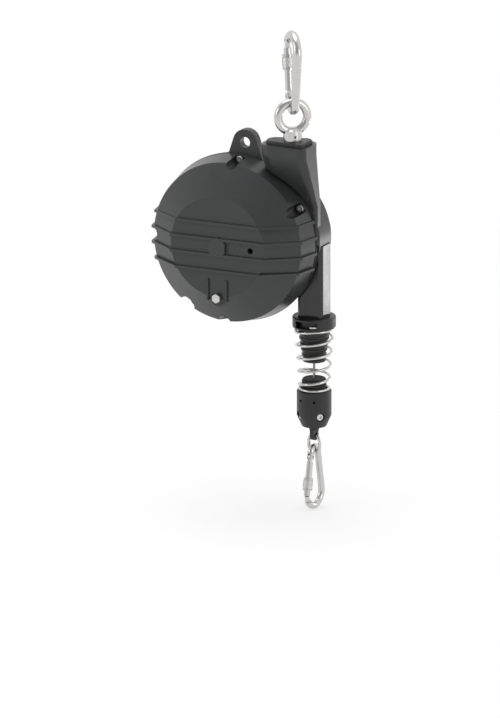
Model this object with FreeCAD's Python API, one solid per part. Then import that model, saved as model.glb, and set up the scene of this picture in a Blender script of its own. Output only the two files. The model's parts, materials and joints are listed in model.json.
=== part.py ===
import FreeCAD, Part
import math
import os

# Spring balancer that carries a hand tool on a steel rope.  Millimetres, +Z up.
# The origin is the seat of the upper snap hook, on the swivel axis.  The round
# front cover looks along -Y, and the column, eye and rope are on the +X side.

V = FreeCAD.Vector
X_AXIS = V(1, 0, 0)
Y_AXIS = V(0, 1, 0)
Z_AXIS = V(0, 0, 1)

# ---- fits ----
RUN_GAP = 0.05          # running fit, on the radius
LOOSE_GAP = 0.3         # pieces of different bodies that only pass each other
SEAT_GAP = 0.02         # seated pieces of one body

# ---- snap hooks: rod, outer width and length, gate and sleeve ----
TOP_HOOK = dict(rod_r=5.0, wide=50.0, long=100.0, narrow_r=11.0, gate_r=4.7,
                nose_r=3.5, sleeve_r=7.0, sleeve_long=18.0, pin_r=1.7)
LOW_HOOK = dict(rod_r=4.0, wide=40.0, long=80.0, narrow_r=7.6, gate_r=3.8,
                nose_r=2.8, sleeve_r=5.8, sleeve_long=15.0, pin_r=1.4)
NOSE_END_DEG = 176.0     # where the nose pin ends and the full rod starts
NOSE_STEP_DEG = 152.0
SLEEVE_PLAY = 0.3
SLEEVE_GROOVES = (0.12, 0.82)
SLEEVE_GROOVE_WIDE = 0.05
SLEEVE_GROOVE_DEEP = 0.6
TANG_GAP = 0.25          # beside the gate's tang, in the fork
PIN_SHY = 0.2            # the hinge pin's ends below the rod's surface

# ---- snap hooks: shares of the rod's radius ----
PIN_RISE = 1.1
FORK_RISE = 1.9
FORK_SLOT = 0.42
TANG_ROUND = 0.8
GATE_SHOULDER = 1.35
NOSE_GAP = 0.09
SLEEVE_DROP = 0.8

# ---- eye nut and swivel, down from the upper hook ----
EYE_ANGLE = -47.6        # heading of the ring's normal, from +X towards +Y
RING_R = 17.5
RING_ROD_R = 5.0
RING_PLAY = 0.3
RING_Z = TOP_HOOK["wide"] / 2 - TOP_HOOK["long"] + 2 * TOP_HOOK["rod_r"] + RING_PLAY + RING_ROD_R - RING_R
EYE_BASE_Z = RING_Z - 28.0
EYE_BASE_R = 11.2
EYE_NECK_R = 10.6
EYE_NECK_LONG = 12.0
EYE_COLLAR_LONG = 3.0
EYE_CROWN = 2.0
THRUST_THICK = 1.0
THRUST_R = 9.0
THRUST_SUNK = 0.7
HANGER_PROUD = 3.8
COLUMN_TOP_Z = EYE_BASE_Z - THRUST_THICK - HANGER_PROUD

# ---- the stack behind the cover's face, as depths ----
GEAR_FRONT_DEPTH = 18.5
GEAR_WIDE = 8.0
SPRING_CASE_FRONT_DEPTH = GEAR_FRONT_DEPTH + GEAR_WIDE + 4.5
MAINSPRING_WIDE = 22.0
DRUM_FRONT_DEPTH = SPRING_CASE_FRONT_DEPTH + MAINSPRING_WIDE + 4.0
DRUM_LONG = 26.5
DRUM_BACK_DEPTH = DRUM_FRONT_DEPTH + DRUM_LONG
ROPE_DEPTH = DRUM_BACK_DEPTH - 5.5
ARBOR_FRONT_DEPTH = 6.0
ARBOR_BACK_DEPTH = DRUM_BACK_DEPTH + 8.5
COVER_DEPTH = DRUM_FRONT_DEPTH - 2.0
CASE_DEPTH = ARBOR_BACK_DEPTH + 6.0
CASE_SHOULDER_DEPTH = CASE_DEPTH - 7.0
FENDER_FRONT_DEPTH = COVER_DEPTH + 7.0
FENDER_BACK_DEPTH = CASE_DEPTH - 5.0

# ---- radii about the drum axis, out from the mainspring's case ----
SPRING_CASE_R = 81.0
ROPE_WIND_R = SPRING_CASE_R + 7.0
DRUM_FLANGE_R = ROPE_WIND_R + 3.0
BEVEL_R = DRUM_FLANGE_R + 4.5
RIM_R = DRUM_FLANGE_R + 9.5
CASE_FRONT_R = RIM_R + 0.5
CASE_BACK_R = DRUM_FLANGE_R + 5.0
CASE_SHOULDER_R = CASE_BACK_R - 8.5

# ---- where the rope, the drum axis and the cover's face lie ----
ROPE_X = 12.0
ROPE_Y = 33.0
DRUM_X = ROPE_X - ROPE_WIND_R
DRUM_Z = COLUMN_TOP_Z - 122.0
FACE_Y = ROPE_Y - ROPE_DEPTH

# ---- front cover, radii about the drum axis and depths behind its face ----
DISC_R = 60.5
BEVEL_DEPTH = 26.0
COVER_WALL = 3.5
RIB_PITCH = 19.0
RIB_THICK = 3.4
RIB_PROUD = 3.0
RIB_COUNT = 4
HEX_BOSS_R = 12.4
HEX_BOSS_PROUD = 3.2
PANEL_BAR_X = 13.0
PANEL_BAR_WIDE = 1.2
PANEL_BAR_PROUD = 1.0
LOCK_HOLE_X = 42.3
LOCK_HOLE_R = 3.5
DRAIN_R = 4.0

# ---- cover screws ----
SCREW_CIRCLE_R = RIM_R - 4.5
SCREW_ANGLES = (28.0, 86.0, 180.0, 237.0, 268.0)
SCREW_R = 2.5
SCREW_HEAD_R = 4.25
SCREW_HEAD_LONG = 5.0
SCREW_LONG = 20.0
SCREW_SOCKET_R = 2.3
SCREW_SOCKET_DEEP = 2.5
SCREW_PLAY = 0.4
POCKET_R = 7.0
POCKET_WALL = 2.6
LOW_POCKET_R = 10.5
FLANGE_THICK = 4.5
CASE_BOSS_R = 8.0
CASE_BOSS_LONG = 22.0
LOW_BOSS_ANGLE = 237.0
LOW_BOSS_R = 11.0

# ---- gasket and rear casing ----
GASKET_THICK = 1.0
GASKET_WIDE = 5.0
GASKET_SHY = 0.5
CASE_FRONT_DEPTH = COVER_DEPTH + GASKET_THICK
CASE_WALL = 4.0
FENDER_R = 76.0
FENDER_OFFSET_X = 27.0
FENDER_OFFSET_Z = 4.0
FENDER_HOLLOW_HALF = 60.0
DRAIN_SLOT_WIDE = 12.0
DRAIN_SLOT_LONG = 8.0
DRAIN_SLOT_DEEP = 2.5
BACK_RIB_COUNT = 6
BACK_RIB_THICK = 4.0
BACK_RIB_PROUD = 2.5
BACK_RIB_SHY = 6.0
BACK_RING_R = 18.0
DRUM_ROOM = 1.0          # round the drum's flanges and the spring's case

# ---- column that carries the swivel: three upright discs and their tangents ----
COLUMN_RIGHT = 25.0
COLUMN_FRONT = -23.0
COLUMN_BACK = 23.0
COLUMN_FRONT_R = 9.0
COLUMN_BACK_R = 14.0
COLUMN_NOSE_X = -19.0
COLUMN_NOSE_Y = -3.0
COLUMN_NOSE_R = 17.0
COLUMN_BAND = 12.5
COLUMN_FOOT_Z = DRUM_Z + 46.0
COLUMN_FOOT_LEAN = 36.0
COLUMN_WALL = 4.5
COLUMN_POCKET_DEEP = 7.0
COLUMN_WEB = 9.0
COLUMN_HOLLOW_END_Z = COLUMN_FOOT_Z + 10.0

# ---- safety lug on the rim ----
LUG_X = DRUM_X + 9.0
LUG_Z = DRUM_Z + CASE_FRONT_R + 13.5
LUG_R = 15.5
LUG_HOLE_R = 6.5
LUG_THICK = 10.5
LUG_FOOT_WIDE = 50.0
LUG_FOOT_DROP = 26.0

# ---- swivel bolt and hanger plate ----
EYE_NECK_Z = EYE_BASE_Z + EYE_NECK_LONG
BOLT_R = 5.0
BOLT_HEAD_R = 9.0
BOLT_HEAD_LONG = 7.0
HANGER_FIT = 0.2
HANGER_STEP = 1.2
HANGER_SPIGOT_R = 11.0
LOCK_PIN_R = 1.5
LOCK_PIN_SHY = 1.0
LOCK_PIN_Z = EYE_BASE_Z + 5.7
BOLT_WASHER_THICK = 2.0
BOLT_WASHER_R = 12.0

# ---- rope, drum and mainspring ----
ROPE_R = 1.5
ROPE_WOUND_LONG = 16.0
DRUM_FLANGE_THICK = 2.2
DRUM_RIM_THICK = 5.0
DRUM_WEB_THICK = 4.5
DRUM_HUB_R = 16.0
DRUM_HUB_SHY = 2.0
DRUM_WINDOW_COUNT = 6
DRUM_WINDOW_CIRCLE_R = 48.0
DRUM_WINDOW_R = 13.0
DRUM_BUSH_LONG = 9.0
BUSH_WALL = 3.0
ARBOR_R = 8.0
ARBOR_END_SHY = 0.3
ARBOR_CLIP_R = ARBOR_R + 2.5
ARBOR_CLIP_THICK = 1.2
ARBOR_CLIP_GAP = 0.2
ARBOR_CLIP_MOUTH = 4.0
HUB_R = 15.0
FRONT_BUSH_LONG = 9.0
REAR_BUSH_LONG = 8.0
SPRING_CASE_WALL = 2.5
SPRING_LID_THICK = 2.0
SPRING_LID_HOLE_R = 24.0
MAINSPRING_THICK = 1.0
MAINSPRING_TURNS = 9
MAINSPRING_PLAY = 1.0
SPRING_CORE_R = 20.0
SPRING_CORE_GAP = 0.6    # from the core to the innermost turn
SPRING_WALL_GAP = 0.5    # from the outermost turn to the case
CORE_SLOT_WIDE = 2.0
CORE_SLOT_DEEP = 8.0
CASE_SCREW_COUNT = 6
CASE_SCREW_R = 2.0
CASE_SCREW_HEAD_R = 3.6
CASE_SCREW_HEAD_LONG = 2.4
CASE_SCREW_CIRCLE_R = SPRING_CASE_R - 7.0

# ---- preload gears ----
GEAR_MODULE = 2.0
GEAR_TEETH = 51
PINION_TEETH = 10
GEAR_ADDENDUM = 0.6
PINION_ADDENDUM = 0.9
GEAR_DEDENDUM = 1.15
TOOTH_BACKLASH = 0.3
FLANK_STEPS = 5
PRESSURE_DEG = 20.0
GEAR_HOLE_COUNT = 6
GEAR_HOLE_CIRCLE_R = 31.0
GEAR_HOLE_R = 10.0
KEY_WIDE = 5.0
KEY_HIGH = 5.0
ADJUSTER_BOSS_R = 10.5
ADJUSTER_BOSS_FRONT_DEPTH = 1.0
ADJUSTER_SHAFT_R = 5.0
ADJUSTER_HEAD_R = 5.6
ADJUSTER_HEAD_LONG = 5.5
ADJUSTER_LIP = 2.5
ADJUSTER_SPOT = 2.4
ADJUSTER_RIDGE_X = 12.0
ADJUSTER_RIDGE_THICK = 2.0
ADJUSTER_RIDGE_PROUD = 2.4
ADJUSTER_RIDGE_BELOW = 10.5
ADJUSTER_RIDGE_PAST = 3.5

# ---- rope chute under the casing, collar and guide ----
CHUTE_WIDE = 32.5
CHUTE_FRONT_OFF = 14.0
CHUTE_BACK_OFF = 14.0
CHUTE_CORNER_R = 5.0
CHUTE_WALL = 3.0
CHUTE_TOP_Z = DRUM_Z - 4.0
COLLAR_R = 25.6
COLLAR_TOP_Z = DRUM_Z - 91.0
COLLAR_HIGH = 13.5
COLLAR_EDGE = 1.0
COLLAR_ROOF = 2.5
COLLAR_SILL = 2.2
COLLAR_ROPE_R = 6.0
COLLAR_WINDOW_WIDE = 27.0
COLLAR_WINDOW_HIGH = 8.0
CLIP_LEFT_X = 4.5
CLIP_BACK_OFF = 8.0
CLIP_SHY = 3.0
CLIP_RISE = 2.8
CLIP_THICK = 1.8
GUIDE_TOP_R = 19.3
GUIDE_BOTTOM_R = 13.3
GUIDE_BOTTOM_Z = COLLAR_TOP_Z - 55.0
GUIDE_BORE_R = 4.0
GUIDE_MOUTH = 2.0
GUIDE_PROUD = 1.0
GUIDE_RING_COUNT = 6
GUIDE_RING_DEEP = 1.0

# ---- buffer spring, stub and clamp block ----
BUFFER_TOP_R = 22.2
BUFFER_END_R = 17.4
BUFFER_WIRE_R = 1.6
BUFFER_TURNS = 4.57
BUFFER_LENGTHS = 5
BUFFER_START_DEG = 90.0
BUFFER_CLOSED_DEG = 283.0
BLOCK_TOP_Z = COLLAR_TOP_Z - 90.0
STUB_TOP_Z = BLOCK_TOP_Z + 14.0
STUB_R = 14.6
STUB_RING_COUNT = 3
STUB_RING_DEEP = 1.2
STUB_CROWN = 2.0
STUB_BORE_R = 2.0
BLOCK_R = 20.5
BLOCK_CHAMFER_Z = BLOCK_TOP_Z - 30.5
BLOCK_BOTTOM_Z = BLOCK_TOP_Z - 44.0
BLOCK_BOTTOM_R = 14.5
BLOCK_EDGE = 1.0
BLOCK_FLOOR = 4.0
BLOCK_ROPE_BORE_R = 1.7
CLAMP_SCREW_R = 2.5
CLAMP_SCREW_Z = BLOCK_CHAMFER_Z + 0.5
CLAMP_SOCKET_R = 2.3
CLAMP_SOCKET_DEEP = 2.0
CLAMP_SCREW_HEAD_R = 4.2
CLAMP_RECESS_R = 5.2
CLAMP_HOLE_R = 1.6
CLAMP_ANGLES = (-42.0, 48.0, 138.0, -132.0)
CLAMP_HOLE_ANGLES = (-65.0, -116.0, 64.0, 115.0)
FERRULE_R = 2.7
FERRULE_HALF = 4.5
CLAMP_SEAT = 5.5
CLAMP_HEAD_LONG = 3.0
CLAMP_HOLE_Z = BLOCK_TOP_Z - 11.0

# ---- lower swivel, link and hook heading ----
STEM_R = 5.9
STEM_BOTTOM_Z = BLOCK_BOTTOM_Z - 18.2
STEM_EYE_TOP_Z = BLOCK_BOTTOM_Z - 5.0
STEM_EYE_THICK = 5.0
STEM_EYE_HOLE_R = 3.1
STEM_EYE_PLAY = 0.75
STEM_SPIGOT_R = 4.0
STEM_HEAD_R = 6.5
STEM_HEAD_LONG = 3.5
STEM_POCKET_LONG = 5.0
LINK_OUTER_WIDE = 19.0
LINK_TOP_Z = BLOCK_BOTTOM_Z - 10.2
LINK_BOTTOM_Z = LINK_TOP_Z - 24.3
LINK_WIRE_R = 2.0
LOW_HEADING = 83.0       # the lower hook's spine side, from +X towards +Y

PARTS_FOLDER = "parts"


# ------------------------------------------------------------------ helpers
def depth(d):
    """Y of a point that lies d behind the cover's face."""
    return FACE_Y + d


def cylinder_y(r, y0, y1, x=DRUM_X, z=DRUM_Z):
    return Part.makeCylinder(r, y1 - y0, V(x, y0, z), Y_AXIS)


def cylinder_z(r, z0, z1, x=0.0, y=0.0):
    return Part.makeCylinder(r, z1 - z0, V(x, y, z0), Z_AXIS)


def box_between(x0, x1, y0, y1, z0, z1):
    return Part.makeBox(x1 - x0, y1 - y0, z1 - z0, V(x0, y0, z0))


def turned_y(profile, x=DRUM_X, z=DRUM_Z):
    """Solid of revolution about a line along Y, from (radius, y) points."""
    points = [V(x + r, y, z) for r, y in profile]
    face = Part.Face(Part.makePolygon(points + [points[0]]))
    return face.revolve(V(x, 0, z), Y_AXIS, 360)


def turned_z(profile, x=0.0, y=0.0):
    """Solid of revolution about a line along Z, from (radius, z) points."""
    points = [V(x + r, y, z) for r, z in profile]
    face = Part.Face(Part.makePolygon(points + [points[0]]))
    return face.revolve(V(x, y, 0), Z_AXIS, 360)


def hexagon_y(across, y0, y1, x, z, pointy_top=True):
    """Hexagonal prism along Y; across is its corner radius."""
    start = 90.0 if pointy_top else 60.0
    points = []
    for i in range(7):
        a = math.radians(start + 60.0 * i)
        points.append(V(x + across * math.cos(a), y0, z + across * math.sin(a)))
    return Part.Face(Part.makePolygon(points)).extrude(V(0, y1 - y0, 0))


def rounded_rectangle(x0, x1, y0, y1, z, r):
    """Closed wire at height z with quarter-circle corners."""
    k = r * (1.0 - math.sqrt(0.5))
    edges = [
        Part.LineSegment(V(x0 + r, y0, z), V(x1 - r, y0, z)),
        Part.Arc(V(x1 - r, y0, z), V(x1 - k, y0 + k, z), V(x1, y0 + r, z)),
        Part.LineSegment(V(x1, y0 + r, z), V(x1, y1 - r, z)),
        Part.Arc(V(x1, y1 - r, z), V(x1 - k, y1 - k, z), V(x1 - r, y1, z)),
        Part.LineSegment(V(x1 - r, y1, z), V(x0 + r, y1, z)),
        Part.Arc(V(x0 + r, y1, z), V(x0 + k, y1 - k, z), V(x0, y1 - r, z)),
        Part.LineSegment(V(x0, y1 - r, z), V(x0, y0 + r, z)),
        Part.Arc(V(x0, y0 + r, z), V(x0 + k, y0 + k, z), V(x0 + r, y0, z)),
    ]
    return Part.Wire([edge.toShape() for edge in edges])


def rounded_block(x0, x1, y0, y1, z0, z1, r):
    wire = rounded_rectangle(x0, x1, y0, y1, z0, r)
    return Part.Face(wire).extrude(V(0, 0, z1 - z0))


def on_circle(r, degrees, x=DRUM_X, z=DRUM_Z):
    a = math.radians(degrees)
    return x + r * math.cos(a), z + r * math.sin(a)


def screw_y(x, z, y_head, head_r, head_long, shank_r, shank_long, socket_r, socket_deep):
    """Socket head screw along +Y whose head starts at y_head."""
    screw = cylinder_y(head_r, y_head, y_head + head_long, x, z)
    screw = screw.fuse(cylinder_y(shank_r, y_head + head_long, y_head + head_long + shank_long, x, z))
    return screw.cut(hexagon_y(socket_r, y_head, y_head + socket_deep, x, z))


def save(name, shape):
    solids = shape.Solids
    volume = sum(s.Volume for s in solids)
    print("%-18s solids %2d  volume %9.1f  valid %s" % (name, len(solids), volume, shape.isValid()))
    if len(solids) == 1:
        shape = solids[0]
    else:
        shape = Part.makeCompound(solids)
    shape.exportStep(os.path.join(PARTS_FOLDER, name + ".step"))


# ------------------------------------------------------------------ front cover
def cover_profile(out=0.0):
    """Outer profile of the cover, moved outwards by out, as (radius, y)."""
    half = math.atan2(BEVEL_R - DISC_R, BEVEL_DEPTH) / 2.0
    lean = math.atan2(RIM_R - BEVEL_R, COVER_DEPTH - BEVEL_DEPTH)
    return [
        (0.0, depth(-out)),
        (DISC_R + out * math.tan(math.pi / 4 - half), depth(-out)),
        (BEVEL_R + out, depth(BEVEL_DEPTH - out * math.tan(half - lean / 2.0))),
        (RIM_R + out / math.cos(lean), depth(COVER_DEPTH)),
        (0.0, depth(COVER_DEPTH)),
    ]


def cover_ribs(cavity):
    """Four level ribs that cross the face, the bevel and the wall."""
    swollen = turned_y(cover_profile(RIB_PROUD))
    slabs = []
    for i in range(RIB_COUNT):
        z = DRUM_Z + (i - (RIB_COUNT - 1) / 2.0) * RIB_PITCH
        reach = RIM_R + 2 * RIB_PROUD
        slab = box_between(DRUM_X - reach, DRUM_X + reach, depth(-2 * RIB_PROUD),
                           depth(COVER_DEPTH), z - RIB_THICK / 2, z + RIB_THICK / 2)
        slabs.append(swollen.common(slab).cut(cavity))
    return slabs


def adjuster_centre_z():
    return DRUM_Z - GEAR_MODULE * (GEAR_TEETH + PINION_TEETH) / 2.0


def pocket_r(angle):
    return LOW_POCKET_R if angle == LOW_BOSS_ANGLE else POCKET_R


def front_cover():
    outer = turned_y(cover_profile())
    cavity = turned_y(cover_profile(-COVER_WALL))
    cover = outer.cut(cavity)
    drum_room = cylinder_y(SPRING_CASE_R + DRUM_ROOM, depth(SPRING_CASE_FRONT_DEPTH - SPRING_LID_THICK - DRUM_ROOM),
                           depth(COVER_DEPTH))
    pockets = []
    for angle in SCREW_ANGLES:
        x, z = on_circle(SCREW_CIRCLE_R, angle)
        r = pocket_r(angle)
        guard = cylinder_y(r + POCKET_WALL, depth(0), depth(COVER_DEPTH), x, z)
        cover = cover.fuse(guard.common(outer).cut(drum_room))
        pockets.append(cylinder_y(r, depth(-5), depth(COVER_DEPTH - FLANGE_THICK), x, z))
        pockets.append(cylinder_y(SCREW_R + SCREW_PLAY, depth(0), depth(COVER_DEPTH + 1), x, z))
    for rib in cover_ribs(cavity):
        cover = cover.fuse(rib)
    boss_z = adjuster_centre_z()
    rib_low = DRUM_Z - (RIB_COUNT - 1) / 2.0 * RIB_PITCH
    extras = [
        hexagon_y(HEX_BOSS_R, depth(-HEX_BOSS_PROUD), depth(COVER_WALL), DRUM_X, DRUM_Z),
        cylinder_y(HUB_R, depth(COVER_WALL / 2), depth(ARBOR_FRONT_DEPTH + FRONT_BUSH_LONG)),
        cylinder_y(ADJUSTER_BOSS_R, depth(ADJUSTER_BOSS_FRONT_DEPTH),
                   depth(GEAR_FRONT_DEPTH - LOOSE_GAP), DRUM_X, boss_z),
        box_between(DRUM_X + PANEL_BAR_X, DRUM_X + PANEL_BAR_X + PANEL_BAR_WIDE,
                    depth(-PANEL_BAR_PROUD), depth(COVER_WALL / 2),
                    DRUM_Z - RIB_PITCH / 2, DRUM_Z + RIB_PITCH / 2),
    ]
    for side in (-1, 1):
        x = DRUM_X + side * ADJUSTER_RIDGE_X
        extras.append(box_between(x - ADJUSTER_RIDGE_THICK / 2, x + ADJUSTER_RIDGE_THICK / 2,
                                  depth(-ADJUSTER_RIDGE_PROUD), depth(COVER_WALL),
                                  boss_z - ADJUSTER_RIDGE_PAST, rib_low - ADJUSTER_RIDGE_BELOW))
    for extra in extras:
        cover = cover.fuse(extra)
    bush_r = ARBOR_R + BUSH_WALL
    pockets += [
        cylinder_y(bush_r, depth(ARBOR_FRONT_DEPTH), depth(ARBOR_FRONT_DEPTH + FRONT_BUSH_LONG + 1)),
        cylinder_y(ADJUSTER_SHAFT_R + LOOSE_GAP, depth(ADJUSTER_BOSS_FRONT_DEPTH - 1),
                   depth(GEAR_FRONT_DEPTH), DRUM_X, boss_z),
        cylinder_y(ADJUSTER_SHAFT_R + BUSH_WALL, depth(ADJUSTER_BOSS_FRONT_DEPTH + ADJUSTER_LIP),
                   depth(GEAR_FRONT_DEPTH), DRUM_X, boss_z),
        cylinder_y(LOCK_HOLE_R, depth(-1), depth(COVER_WALL + 1), DRUM_X + LOCK_HOLE_X, DRUM_Z),
        cylinder_y(DRAIN_R, depth(BEVEL_DEPTH), depth(COVER_DEPTH + 1), DRUM_X, DRUM_Z - RIM_R),
    ]
    pockets.append(cylinder_y(ADJUSTER_HEAD_R + ADJUSTER_SPOT, depth(-ADJUSTER_RIDGE_PROUD),
                              depth(ADJUSTER_BOSS_FRONT_DEPTH), DRUM_X, boss_z))
    for pocket in pockets:
        cover = cover.cut(pocket)
    return cover.removeSplitter()


def cover_screws():
    y_head = depth(COVER_DEPTH - FLANGE_THICK - SCREW_HEAD_LONG)
    screws = []
    for angle in SCREW_ANGLES:
        x, z = on_circle(SCREW_CIRCLE_R, angle)
        screws.append(screw_y(x, z, y_head, SCREW_HEAD_R, SCREW_HEAD_LONG, SCREW_R,
                              SCREW_LONG, SCREW_SOCKET_R, SCREW_SOCKET_DEEP))
    return Part.makeCompound(screws)


def cover_gasket():
    disc = cylinder_y(RIM_R - GASKET_SHY, depth(COVER_DEPTH), depth(CASE_FRONT_DEPTH))
    ring = disc.cut(cylinder_y(RIM_R - GASKET_WIDE, depth(COVER_DEPTH - 1), depth(CASE_FRONT_DEPTH + 1)))
    for angle in SCREW_ANGLES:
        x, z = on_circle(SCREW_CIRCLE_R, angle)
        pad = cylinder_y(CASE_BOSS_R, depth(COVER_DEPTH), depth(CASE_FRONT_DEPTH), x, z)
        hole = cylinder_y(SCREW_R + SCREW_PLAY, depth(COVER_DEPTH - 1), depth(CASE_FRONT_DEPTH + 1), x, z)
        ring = ring.fuse(pad.common(disc)).cut(hole)
    return ring.removeSplitter()


# ------------------------------------------------------------------ rear casing
def casing_profile(inset=0.0):
    return [
        (0.0, depth(CASE_FRONT_DEPTH)),
        (CASE_FRONT_R - inset, depth(CASE_FRONT_DEPTH)),
        (CASE_BACK_R - inset, depth(CASE_SHOULDER_DEPTH - inset)),
        (CASE_SHOULDER_R - inset, depth(CASE_DEPTH - inset)),
        (0.0, depth(CASE_DEPTH - inset)),
    ]


def fender(inset=0.0):
    """Round bulge on the column side that covers the rope's way off the drum."""
    return cylinder_y(FENDER_R - inset, depth(FENDER_FRONT_DEPTH + inset), depth(FENDER_BACK_DEPTH - inset),
                      DRUM_X + FENDER_OFFSET_X, DRUM_Z + FENDER_OFFSET_Z)


def disc_outline(discs, z):
    """Closed wire round discs given counter-clockwise as (x, y, radius)."""
    normals = []
    for i, (x0, y0, r0) in enumerate(discs):
        x1, y1, r1 = discs[(i + 1) % len(discs)]
        gap = math.hypot(x1 - x0, y1 - y0)
        normals.append(math.atan2(y1 - y0, x1 - x0) - math.acos((r0 - r1) / gap))
    edges = []
    for i, (x, y, r) in enumerate(discs):
        start = normals[i - 1]
        turn = (normals[i] - start) % (2 * math.pi)
        points = []
        for a in (start, start + turn / 2, start + turn):
            points.append(V(x + r * math.cos(a), y + r * math.sin(a), z))
        x1, y1, r1 = discs[(i + 1) % len(discs)]
        after = V(x1 + r1 * math.cos(normals[i]), y1 + r1 * math.sin(normals[i]), z)
        edges.append(Part.Arc(*points).toShape())
        edges.append(Part.LineSegment(points[2], after).toShape())
    return Part.Wire(edges)


def column_discs(inset, lean):
    """Discs of the column's section; lean moves the whole section back."""
    return [
        (COLUMN_NOSE_X, COLUMN_NOSE_Y + lean, COLUMN_NOSE_R - inset),
        (COLUMN_RIGHT - COLUMN_FRONT_R, COLUMN_FRONT + COLUMN_FRONT_R + lean, COLUMN_FRONT_R - inset),
        (COLUMN_RIGHT - COLUMN_BACK_R, COLUMN_BACK - COLUMN_BACK_R + lean, COLUMN_BACK_R - inset),
    ]


def column_block(inset, z0, z1, lean=0.0):
    wire = disc_outline(column_discs(inset, lean), z0)
    return Part.Face(wire).extrude(V(0, 0, z1 - z0))


def column_body(inset=0.0):
    """Column: a straight band under the mouth, then a foot that leans back."""
    band_z = COLUMN_TOP_Z - COLUMN_BAND
    top = column_block(inset, band_z, COLUMN_TOP_Z)
    lean = Part.makeLoft([
        disc_outline(column_discs(inset, 0.0), band_z),
        disc_outline(column_discs(inset, COLUMN_FOOT_LEAN), COLUMN_FOOT_Z),
    ], True, True)
    foot = column_block(inset, DRUM_Z, COLUMN_FOOT_Z, COLUMN_FOOT_LEAN)
    return top.fuse(lean).fuse(foot)


def safety_lug():
    """Flat eye that takes the safety chain, on the casing's front edge."""
    y0 = depth(CASE_FRONT_DEPTH)
    round_top = cylinder_y(LUG_R, y0, y0 + LUG_THICK, LUG_X, LUG_Z)
    side = LUG_FOOT_WIDE / 2.0
    foot_z = LUG_Z - LUG_FOOT_DROP
    reach = math.hypot(side, LUG_FOOT_DROP)
    tilt = math.acos(LUG_R / reach) - math.atan2(side, LUG_FOOT_DROP)
    tx = LUG_R * math.cos(tilt)
    tz = LUG_R * math.sin(tilt)
    points = [V(LUG_X + tx, y0, LUG_Z + tz), V(LUG_X + side, y0, foot_z),
              V(LUG_X - side, y0, foot_z), V(LUG_X - tx, y0, LUG_Z + tz)]
    web = Part.Face(Part.makePolygon(points + [points[0]])).extrude(V(0, LUG_THICK, 0))
    return round_top.fuse(web)


def chute_block(inset, z0, z1):
    half = CHUTE_WIDE / 2.0 - inset
    return rounded_block(ROPE_X - half, ROPE_X + half, ROPE_Y - CHUTE_FRONT_OFF + inset,
                         ROPE_Y + CHUTE_BACK_OFF - inset, z0, z1, CHUTE_CORNER_R - min(inset, 2.0))


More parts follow.
